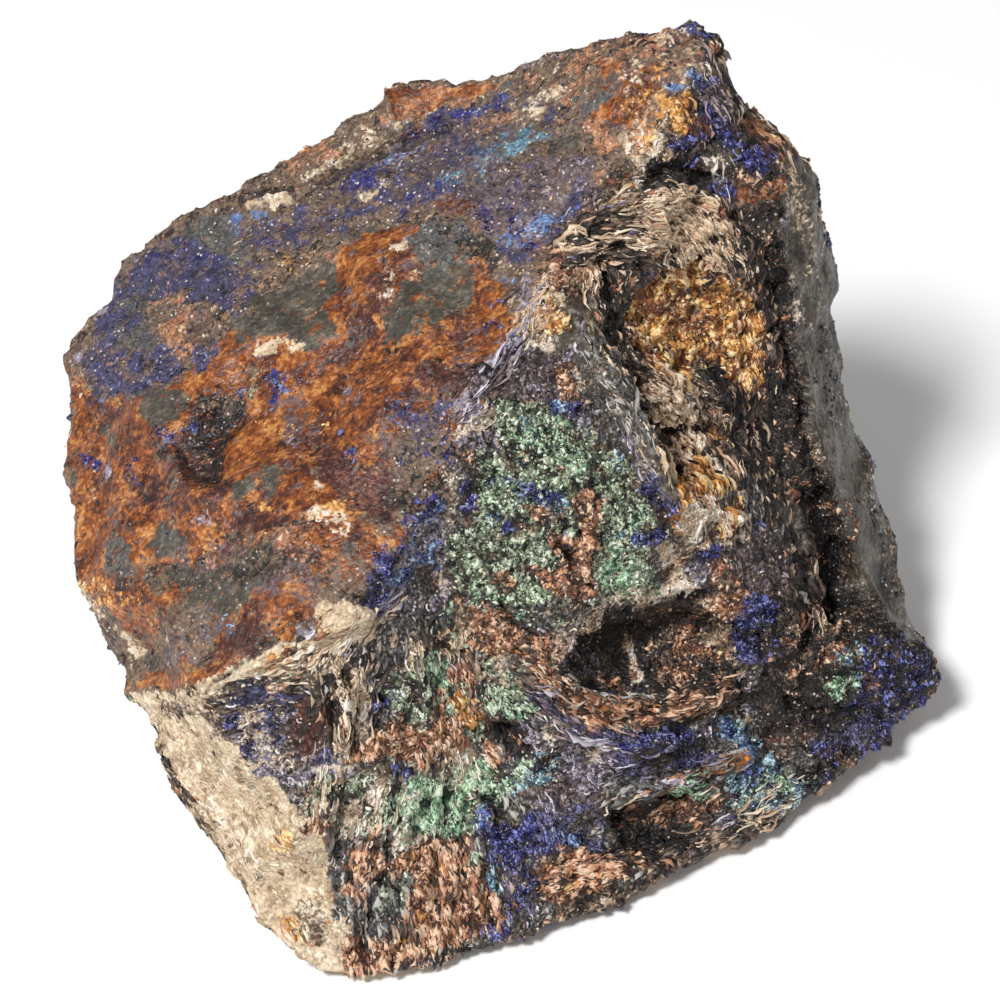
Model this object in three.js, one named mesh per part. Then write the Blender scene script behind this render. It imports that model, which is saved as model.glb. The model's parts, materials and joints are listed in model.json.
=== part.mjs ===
// A hand specimen of azurite and malachite on weathered mica schist: one broken block of rock.
// Millimetres, +Z up. The block rests on its flat underside at z = 0, with the origin under its middle.
import * as THREE from "three";
import { ConvexHull } from "three/addons/math/ConvexHull.js";
import { ImprovedNoise } from "three/addons/math/ImprovedNoise.js";
import { mergeVertices } from "three/addons/utils/BufferGeometryUtils.js";

// Driving sizes.
const CORE = new THREE.Vector3(-2, 8, 16); // every point of the skin can be seen from here
const LONGEST_EDGE = 3.4; // facet edge
const FLAT_BELOW = 0.6; // height under which the skin keeps the flat of the underside
const ROUGH_ABOVE = 3; // height over which the skin has its full relief

// The block's outline, as rows of corner points [x, y, z]. The skin is stretched over all of them.
const rows = {
  // the high edge of the iron-stained face, from its left tip round the back to the peak
  gossanRim: [
    [-42.5, 20.2, 31], [-38.6, 24.3, 34.3], [-37.6, 28.6, 37.2], [-31.9, 30, 41], [-26.3, 29.6, 43.5],
    [-22.1, 29.8, 45.8], [-20.5, 32.2, 47], [-16.4, 32, 49], [-12.6, 34, 51.8], [-10.6, 35.1, 53.5],
    [-4.3, 32.4, 55], [0.5, 31, 56.7], [5.6, 31, 58.8], [11.7, 28.7, 62.9], [17.5, 27, 65.7],
  ],
  // from the peak down to the top of the quartz band
  shoulder: [
    [19.6, 25.5, 64.8], [20.3, 23.2, 62], [21.2, 20.9, 59.7], [22.7, 19.9, 57.2], [26.5, 21.5, 56],
    [27.1, 21.7, 54],
  ],
  // the left edge of the iron-stained face, down to the notch above the bare schist
  gossanLeft: [
    [-41.4, 18.8, 30], [-41.1, 11.3, 28], [-41.8, 10.3, 27], [-39.9, 3.9, 25.5], [-40, -1, 23.5],
    [-40, -4, 22.2], [-35.5, -8.9, 19.9], [-33.5, -10.2, 20.2],
  ],
  // the iron-stained face itself, nearly flat
  gossanFace: [
    [-23.3, 11.5, 40.6], [-32.6, 6.2, 34.8], [-27, -6, 35.2], [-13.4, -3.4, 42.4], [-17.5, -16.5, 37],
    [-7.3, 13.1, 48.6], [4.6, 19, 56], [-31.6, -11.7, 28.5], [-14, 21, 46.8], [-20, 2, 39.2],
  ],
  // the edge where the iron-stained face meets the broken front
  crest: [
    [-26, -21.6, 26.5], [-21.5, -21.1, 30], [-13.9, -20.4, 33.5], [-10.6, -18.3, 36.5],
    [-6.1, -12.5, 40.5], [-3.5, -5.7, 44], [-1.3, -2.4, 46.5], [1.8, 0.4, 48.8], [4.3, 4.7, 51.2],
    [6.7, 8, 53.2], [10.8, 11.7, 55.5], [14.5, 14.5, 58], [18.1, 17.1, 59.5],
  ],
  // the bare schist end: its outer and inner edges
  schistOuter: [
    [-34.9, -13.1, 17.7], [-31.7, -15, 15], [-30.7, -17.6, 13], [-26.9, -22.4, 9.5],
    [-23.2, -26.6, 7], [-22, -28.8, 5], [-19, -31.2, 3], [-15.5, -33.4, 1.1],
  ],
  schistInner: [
    [-22.9, -25.2, 23], [-19.9, -26.4, 18.6], [-18.5, -27.6, 14.5], [-15.3, -28, 9.8],
    [-14.3, -30.1, 4.5],
  ],
  // the crusted front: the green dome, the rib, the rusty pocket and the terraces under them
  dome: [
    [5.4, -7.2, 36.5], [12.8, -6.2, 28.5], [5.5, -11, 25.5], [-2.7, -13, 28], [9, -2.3, 40],
    [0.5, -5, 41.5], [-4, -10.5, 36],
  ],
  rib: [[6.8, 4.2, 47.5], [9.5, 1.2, 43], [13.7, 0, 37], [16.2, -1.7, 30.5]],
  pocket: [
    [13.4, 9.2, 46], [17.1, 11.4, 41.3], [18.7, 9, 35.6], [20.1, 7, 31.1], [15.9, 3.2, 34.2],
    [22.4, 11.6, 37.8], [24.9, 14.2, 40.1],
  ],
  brow: [
    [11.1, 8.9, 51.9], [15.4, 12.7, 53.1], [18.9, 13.3, 47.5], [22.2, 15.2, 47.5], [20.4, 18.1, 55.3],
    [24.8, 18.6, 51.6],
  ],
  terraces: [
    [12.2, -7.8, 19.4], [10.6, -14.4, 15.2], [19.7, -8.6, 13.6], [14, -16.6, 8.6], [23.7, -10.8, 7.4],
    [-1.8, -17.9, 14], [-7.3, -24.5, 9], [3.7, -22.4, 6.8], [-13.4, -24.3, 16.5], [-15, -21.6, 25],
    [27, -3.4, 14.5], [24.3, 1.7, 20.8], [-4, -17, 21.5], [26.3, 7.2, 27.7],
  ],
  // the quartz band down the right side: the edge towards the pocket and the outer edge
  quartzInner: [[27, 19.6, 50], [27.9, 15.5, 38], [29, 11.9, 30], [32.2, 9.5, 22], [36, 6.3, 12]],
  quartzOuter: [
    [29.9, 26.2, 48], [32, 28.1, 40], [34.1, 28.1, 35.2], [32.8, 26.8, 32.6], [33.2, 24.8, 28.8],
    [35.3, 21.8, 24.2], [36.8, 19.3, 19], [38.5, 15, 13.5], [39.1, 11.7, 10.5], [41.6, 5.9, 6.9],
  ],
  // the blue knob at the right-hand corner, and the foot of the front
  knob: [[33.9, 0.9, 10], [43, 0.8, 8.3], [42.1, -0.4, 4.5], [38.5, -1.2, 10.5]],
  foot: [
    [-9.1, -32.9, 1.4], [-3.7, -30.9, 1.3], [1.4, -28.9, 1.8], [7.4, -26.1, 1.6], [13.1, -23.3, 1.7],
    [17.7, -20, 2], [22.1, -17.1, 2], [26.3, -15.6, 1.9], [30, -10.7, 2.6], [35.1, -6.2, 3.7],
  ],
  // the back and the undercut left side
  backHigh: [[22.5, 27.5, 55], [6, 35, 50], [-8, 36.4, 43], [-22, 34.5, 35]],
  backMiddle: [
    [-38, 26, 17], [-30, 33, 20], [-18, 36.2, 24], [-5, 36.6, 29], [8, 35, 33], [18, 32, 36],
    [27, 29, 27],
  ],
  backLow: [
    [-34, 22, 5], [-24, 31, 5], [-10, 34, 4], [6, 35, 5], [20, 33, 5], [31, 30, 6], [37, 24, 5],
  ],
  leftLow: [[-36.5, 14, 12], [-35, 8, 7], [-31.5, -3.5, 6], [-29.2, -11.2, 11], [-28, -15, 5]],
  // the rim of the flat underside, and its middle
  base: [
    [-13, -29.5, 0], [-3, -27.5, 0], [7, -23, 0], [17, -17.5, 0], [26, -11, 0], [33, -4, 0],
    [37, 4, 0], [36, 15, 0], [33, 25, 0], [22, 30, 0], [5, 32, 0], [-12, 31, 0], [-24, 26, 0],
    [-31, 14, 0], [-30, 0, 0], [-25, -13, 0], [-19, -25, 0], [0, 0, 0],
  ],
};

// Ridges and furrows on the skin: the line that each follows, its half width and its height.
// A height below 0 is a depth.
const relief = {
  rib: {
    line: [[5.5, 3.5, 48], [9.5, 0.8, 43], [13.7, -0.4, 37], [16.4, -2.2, 30]],
    halfWidth: 2.6, height: 1.5,
  },
  furrowBehindRib: {
    line: [[9.5, 7.5, 47], [12.6, 3.6, 39], [16.6, 2.6, 33]],
    halfWidth: 2.6, height: -1.4,
  },
  micaBrow: { line: [[8.6, 9.6, 52.9], [14.1, 13, 54.4], [18.4, 15.1, 51.5]], halfWidth: 2, height: 1.1 },
  crescentLedge: {
    line: [[3, -13.5, 18], [10.6, -14.6, 14.8], [17.5, -11, 13.2]],
    halfWidth: 2.4, height: 1.2,
  },
  hollowUnderDome: {
    line: [[6, -9, 19.5], [12, -6.6, 19], [17.5, -4, 18.5]],
    halfWidth: 3, height: -1.6,
  },
  lowerLedge: { line: [[6, -19.5, 9.5], [14, -17, 8.8], [22, -12.5, 9.4]], halfWidth: 2.4, height: 1.2 },
  lowerFurrow: { line: [[8, -21.5, 5.2], [16, -17, 5.6], [23, -12.5, 4.8]], halfWidth: 2.2, height: -1 },
  furrowByQuartz: {
    line: [[25.5, 15.6, 42], [27, 11, 31], [30, 7, 21], [33, 4, 14]],
    halfWidth: 2.2, height: -1.6,
  },
  quartzEdge: {
    line: [[28.4, 18.5, 48], [28.6, 14.5, 36], [30.4, 10.8, 27], [33.4, 8, 18]],
    halfWidth: 1.6, height: 1,
  },
  schistParting: {
    line: [[-30.2, -17.6, 21.2], [-22.5, -25.6, 11.4], [-15.4, -32.3, 2.9]],
    halfWidth: 1.4, height: -0.7,
  },
  ironLip: {
    line: [[-26, -21.6, 26.5], [-21.5, -21.1, 30], [-13.9, -20.4, 33.5]],
    halfWidth: 2, height: 0.9,
  },
  rimStep: { line: [[-28, 25.5, 42.5], [-16, 26.5, 47.5], [-2, 27, 54.5]], halfWidth: 3, height: -0.9 },
  darkPit: { line: [[-24.5, 0, 37.5], [-20.5, 3, 39.5]], halfWidth: 4, height: -0.9 },
};

const noise = new ImprovedNoise();
const ROUGH = [
  { size: 11, height: 1.1, at: 3.7 },
  { size: 5, height: 0.55, at: 17.3 },
];

const vector = (point) => new THREE.Vector3(...point);

// Corner points joined into triangles, in the way that a tight skin round CORE would join them.
function skin(corners) {
  const seen = corners.map((corner) => corner.clone().sub(CORE).normalize());
  const hull = new ConvexHull().setFromPoints(seen);
  return hull.faces.map((face) => {
    const turn = [face.edge.tail().point, face.edge.head().point, face.edge.next.head().point];
    return turn.map((direction) => corners[seen.indexOf(direction)]);
  });
}

// Cuts a triangle across its longest edge until no edge is too long. Neighbours cut a shared edge alike.
function divide(triangle, done) {
  const lengths = triangle.map((corner, i) => corner.distanceTo(triangle[(i + 1) % 3]));
  const longest = Math.max(...lengths);
  if (longest <= LONGEST_EDGE) {
    done.push(triangle);
    return;
  }
  const first = lengths.indexOf(longest);
  const [a, b, c] = [0, 1, 2].map((i) => triangle[(first + i) % 3]);
  const middle = a.clone().add(b).multiplyScalar(0.5);
  divide([a, middle, c], done);
  divide([middle, b, c], done);
}

// How far a point is from a line of points.
function distanceToLine(point, line) {
  const nearest = new THREE.Vector3();
  const stretches = line.slice(1).map((end, i) => {
    new THREE.Line3(vector(line[i]), vector(end)).closestPointToPoint(point, true, nearest);
    return nearest.distanceTo(point);
  });
  return Math.min(...stretches);
}

// How far the skin is raised at a point: sharp-crested roughness, and the named ridges and furrows.
function raised(point) {
  let height = 0;
  for (const { size, height: most, at } of ROUGH) {
    const wave = noise.noise(point.x / size + at, point.y / size + at, point.z / size + at);
    height += most * (0.5 - 2 * Math.abs(wave));
  }
  for (const { line, halfWidth, height: most } of Object.values(relief)) {
    const near = 1 - distanceToLine(point, line) / (2 * halfWidth);
    height += most * THREE.MathUtils.smoothstep(near, 0, 1);
  }
  return height;
}

function rockGeometry() {
  const corners = Object.values(rows).flat().map(vector);
  const triangles = [];
  for (const triangle of skin(corners)) divide(triangle, triangles);
  const soup = new THREE.BufferGeometry().setFromPoints(triangles.flat());
  const rock = mergeVertices(soup, 1e-4);
  rock.computeVertexNormals();
  const { position, normal } = rock.attributes;
  const point = new THREE.Vector3();
  const outward = new THREE.Vector3();
  for (let i = 0; i < position.count; i += 1) {
    point.fromBufferAttribute(position, i);
    outward.fromBufferAttribute(normal, i);
    const share = THREE.MathUtils.smoothstep(point.z, FLAT_BELOW, ROUGH_ABOVE);
    point.addScaledVector(outward, share * raised(point));
    point.z = Math.max(point.z, 0);
    position.setXYZ(i, point.x, point.y, point.z);
  }
  rock.computeBoundingBox();
  const middle = rock.boundingBox.getCenter(new THREE.Vector3());
  rock.translate(-middle.x, -middle.y, 0);
  rock.computeVertexNormals();
  return rock;
}

const stone = new THREE.MeshStandardMaterial({ color: 0x6b4a34, roughness: 0.85, metalness: 0 });
const specimen = new THREE.Group();
const rock = new THREE.Mesh(rockGeometry(), stone);
rock.name = "azurite_rock";
specimen.add(rock);

export default specimen;
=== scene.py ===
# %% [markdown]
# # An azurite specimen
#
# This lesson dresses a plain solid, a faceted block of stone, until it looks like
# the real thing: a fist of mica schist, rusted orange on its broad face and crusted
# with blue azurite and green malachite. The block's shape is already right, so all
# the work here is skin: relief, colour, and thousands of small crystals and flakes.

# %% Load the block
import json
import math

import bpy
import numpy as np
from mathutils import Matrix, Vector, kdtree, noise

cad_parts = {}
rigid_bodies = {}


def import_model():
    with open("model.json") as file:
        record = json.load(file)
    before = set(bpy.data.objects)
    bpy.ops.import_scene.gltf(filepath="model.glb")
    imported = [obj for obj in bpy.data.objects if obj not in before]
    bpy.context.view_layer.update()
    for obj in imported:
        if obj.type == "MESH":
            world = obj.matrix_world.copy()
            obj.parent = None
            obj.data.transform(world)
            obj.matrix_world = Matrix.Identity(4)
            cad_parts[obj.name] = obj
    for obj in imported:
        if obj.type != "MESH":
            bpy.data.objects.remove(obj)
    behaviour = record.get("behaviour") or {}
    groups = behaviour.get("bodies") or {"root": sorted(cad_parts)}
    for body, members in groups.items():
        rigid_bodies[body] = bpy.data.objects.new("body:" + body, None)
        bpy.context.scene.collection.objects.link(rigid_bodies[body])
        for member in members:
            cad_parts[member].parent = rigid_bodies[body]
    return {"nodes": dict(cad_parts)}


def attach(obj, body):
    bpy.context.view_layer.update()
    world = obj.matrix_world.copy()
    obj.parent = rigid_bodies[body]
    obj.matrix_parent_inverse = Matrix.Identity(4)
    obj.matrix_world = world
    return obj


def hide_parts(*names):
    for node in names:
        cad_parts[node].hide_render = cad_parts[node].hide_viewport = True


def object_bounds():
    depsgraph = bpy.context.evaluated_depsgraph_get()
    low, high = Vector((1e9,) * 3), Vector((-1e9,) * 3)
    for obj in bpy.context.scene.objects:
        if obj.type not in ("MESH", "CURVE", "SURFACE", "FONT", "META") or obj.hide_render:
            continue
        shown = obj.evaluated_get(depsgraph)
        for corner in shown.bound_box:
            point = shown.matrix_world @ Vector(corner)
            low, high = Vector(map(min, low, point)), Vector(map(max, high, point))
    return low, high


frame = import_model()
block_box = [list(corner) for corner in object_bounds()]
MM = 0.001
print("block, mm:", [[round(edge / MM, 1) for edge in corner] for corner in block_box])

# %% [markdown]
# ## Camera, floor and light
#
# A specimen is looked at from the front and well above, with a long lens, so that
# its edges hardly converge. The light is soft and nearly white, as in a white tent.
# One broad panel stands high on the left, a weak one on the right, and the pale
# surroundings fill the shadows, so every grain still has a light and a dark side.

# %% The camera
TARGET = np.array([-0.09, -1.81, 30.0])
ELEVATION = math.radians(40)
LENS, SENSOR = 120.0, 36.0
VIEW_WIDTH = 92.5
VIEW_STEPS = 1000
DISTANCE = VIEW_WIDTH * LENS / SENSOR
TO_CAMERA = np.array([0.0, -math.cos(ELEVATION), math.sin(ELEVATION)])
VIEW_UP = np.array([0.0, math.sin(ELEVATION), math.cos(ELEVATION)])

camera_data = bpy.data.cameras.new("specimen_camera")
camera_data.lens = LENS
camera_data.sensor_width = SENSOR
camera = bpy.data.objects.new("specimen_camera", camera_data)
camera.location = Vector((TARGET + TO_CAMERA * DISTANCE) * MM)
camera.rotation_euler = (math.pi / 2 - ELEVATION, 0, 0)
bpy.context.scene.collection.objects.link(camera)
bpy.context.scene.camera = camera
camera_data.clip_start = 0.01
print("camera stands", round(DISTANCE), "mm from the block")


# %% The floor and the surroundings
def colour(red, green, blue):
    """Turns a colour of 0 to 255, as a screen shows it, into the light it stands for."""
    shares = np.array([red, green, blue]) / 255
    light = np.where(shares <= 0.04045, shares / 12.92, ((shares + 0.055) / 1.055) ** 2.4)
    return (*[float(part) for part in light], 1.0)


bpy.ops.object.select_all(action="DESELECT")
bpy.ops.mesh.primitive_plane_add(size=4.0, location=(0, 0, 0))
floor = bpy.context.active_object
floor.name = "pale_floor"
paper = bpy.data.materials.new("pale_paper")
paper.use_nodes = True
paper_shader = paper.node_tree.nodes["Principled BSDF"]
paper_shader.inputs["Base Color"].default_value = colour(252, 252, 252)
paper_shader.inputs["Roughness"].default_value = 0.9
floor.data.materials.append(paper)

world = bpy.data.worlds.new("pale_room")
world.use_nodes = True
world.node_tree.nodes["Background"].inputs["Color"].default_value = (1.0, 1.0, 1.0, 1.0)
world.node_tree.nodes["Background"].inputs["Strength"].default_value = 0.32
bpy.context.scene.world = world
bpy.context.scene.view_settings.view_transform = "Standard"
print("the floor is", round(floor.dimensions.x, 1), "m across")


# %% The lights
LIT_SPOT = Vector((0, 0, 0.03))


def panel(name, place, size, watts):
    """A square soft box that faces the specimen."""
    light = bpy.data.lights.new(name, "AREA")
    light.shape = "SQUARE"
    light.size = size
    light.energy = watts
    lamp = bpy.data.objects.new(name, light)
    lamp.location = Vector(place)
    lamp.rotation_euler = (LIT_SPOT - lamp.location).to_track_quat("-Z", "Y").to_euler()
    bpy.context.scene.collection.objects.link(lamp)


panel("key_panel", (-0.52, -0.66, 1.16), 0.28, 20.5)
panel("fill_panel", (1.0, -1.0, 0.9), 0.8, 1.5)
print("two light panels and a pale room")

# %% [markdown]
# ## The block's own mesh
#
# The solid has nine thousand flat facets, which is right for its main shape and far
# too coarse for weathered stone. A copy of its mesh is merged and rebuilt as an even
# net of small squares by a voxel remesh. The crusted front is divided once more,
# because that is where the finest relief is.

# %% Copy, merge and remesh
NET = 0.78  # side of a square of the net, in mm


def only(piece):
    """Selects one object and makes it the active one."""
    bpy.ops.object.select_all(action="DESELECT")
    bpy.context.view_layer.objects.active = piece
    piece.select_set(True)


def apply_modifier(piece, kind, **settings):
    """Adds a modifier, sets it and applies it."""
    modifier = piece.modifiers.new(kind.title(), kind)
    for name, value in settings.items():
        setattr(modifier, name, value)
    only(piece)
    bpy.ops.object.modifier_apply(modifier=modifier.name)


def points_of(piece):
    """The mesh's points in millimetres."""
    flat = np.empty(len(piece.data.vertices) * 3)
    piece.data.vertices.foreach_get("co", flat)
    return flat.reshape(-1, 3) / MM


def normals_of(piece):
    """One outward direction for each of the mesh's points."""
    flat = np.empty(len(piece.data.vertices) * 3)
    piece.data.vertex_normals.foreach_get("vector", flat)
    return flat.reshape(-1, 3)


def triangles_of(piece):
    """How many triangles the mesh's faces make."""
    return sum(len(face.vertices) - 2 for face in piece.data.polygons)


rock = bpy.data.objects.new("weathered_block", frame["nodes"]["azurite_rock"].data.copy())
bpy.context.scene.collection.objects.link(rock)
rock.data.materials.clear()
only(rock)
bpy.ops.object.mode_set(mode="EDIT")
bpy.ops.mesh.select_all(action="SELECT")
bpy.ops.mesh.remove_doubles(threshold=0.001 * MM)
bpy.ops.object.mode_set(mode="OBJECT")
apply_modifier(rock, "REMESH", mode="VOXEL", voxel_size=NET * MM)
print("even net:", len(rock.data.polygons), "squares")


# %% Where a point stands in the camera's view
def in_view(points):
    """Places in the 1000-step view, as right and down, of points in millimetres."""
    offset = points - TARGET
    nearer = DISTANCE / (DISTANCE - offset @ TO_CAMERA)
    step = VIEW_WIDTH / VIEW_STEPS
    right = VIEW_STEPS / 2 + offset[:, 0] * nearer / step
    down = VIEW_STEPS / 2 - offset @ VIEW_UP * nearer / step
    return np.stack([right, down], axis=1)


print("the block's box in the view:", in_view(np.array(block_box) / MM).round().tolist())


# %% Which points the camera sees
def smooth(low, high, values):
    """0 below low, 1 above high and an easy curve between."""
    share = np.clip((values - low) / (high - low), 0, 1)
    return share * share * (3 - 2 * share)


def turned_to_camera(points, normals):
    """1 where the surface is seen from the front, 0 where it is hidden."""
    sight = TARGET + TO_CAMERA * DISTANCE - points
    sight /= np.linalg.norm(sight, axis=1)[:, None]
    return smooth(-0.02, 0.16, (sight * normals).sum(axis=1))


points = points_of(rock)
seen = turned_to_camera(points, normals_of(rock))
print(f"the camera sees {seen.mean():.0%} of the points")

# %% Divide the crusted front once more
QUARTZ_SIDE = 845  # right of this the stone is smoother
chosen = (seen > 0.3) & (in_view(points)[:, 0] <= QUARTZ_SIDE)
faces = np.empty(len(rock.data.polygons) * 4, dtype=int)
rock.data.polygons.foreach_get("vertices", faces)
fine_faces = chosen[faces.reshape(-1, 4)].all(axis=1)
only(rock)
bpy.ops.object.mode_set(mode="EDIT")
bpy.ops.mesh.select_mode(type="FACE")
bpy.ops.mesh.select_all(action="DESELECT")
bpy.ops.object.mode_set(mode="OBJECT")
rock.data.polygons.foreach_set("select", fine_faces)
bpy.ops.object.mode_set(mode="EDIT")
bpy.ops.mesh.subdivide(number_cuts=1)
bpy.ops.object.mode_set(mode="OBJECT")
print("after dividing the front:", triangles_of(rock), "triangles")

# %% [markdown]
# ## Where each mineral lies
#
# The minerals are laid on as a painter would: broad areas first, then strokes and
# spots over them, each with its own strength. Every point of the mesh keeps one
# share per mineral, and the shares always add up to one. A low strength means a
# loose scatter, which the material later breaks into separate specks. Places are
# in steps of the camera's view, 1000 steps across, and read right,down. A row is a
# mineral with its strokes, and a later row covers an earlier one where they meet.

# %% The minerals
# The mineral "dark" is partly near-black matter and partly painted shade: it fills voids, hollows
# and the undersides of ledges, and its specks darken the gaps between grains.
MINERALS = [
    "brown", "schist", "quartz", "olive", "slate", "plum", "amber", "flame", "red",
    "rust", "ochre", "green", "teal", "mint", "violet", "azurite", "sky", "mica",
    "lilac", "cream", "dark",
]
print(len(MINERALS), "minerals")
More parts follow.
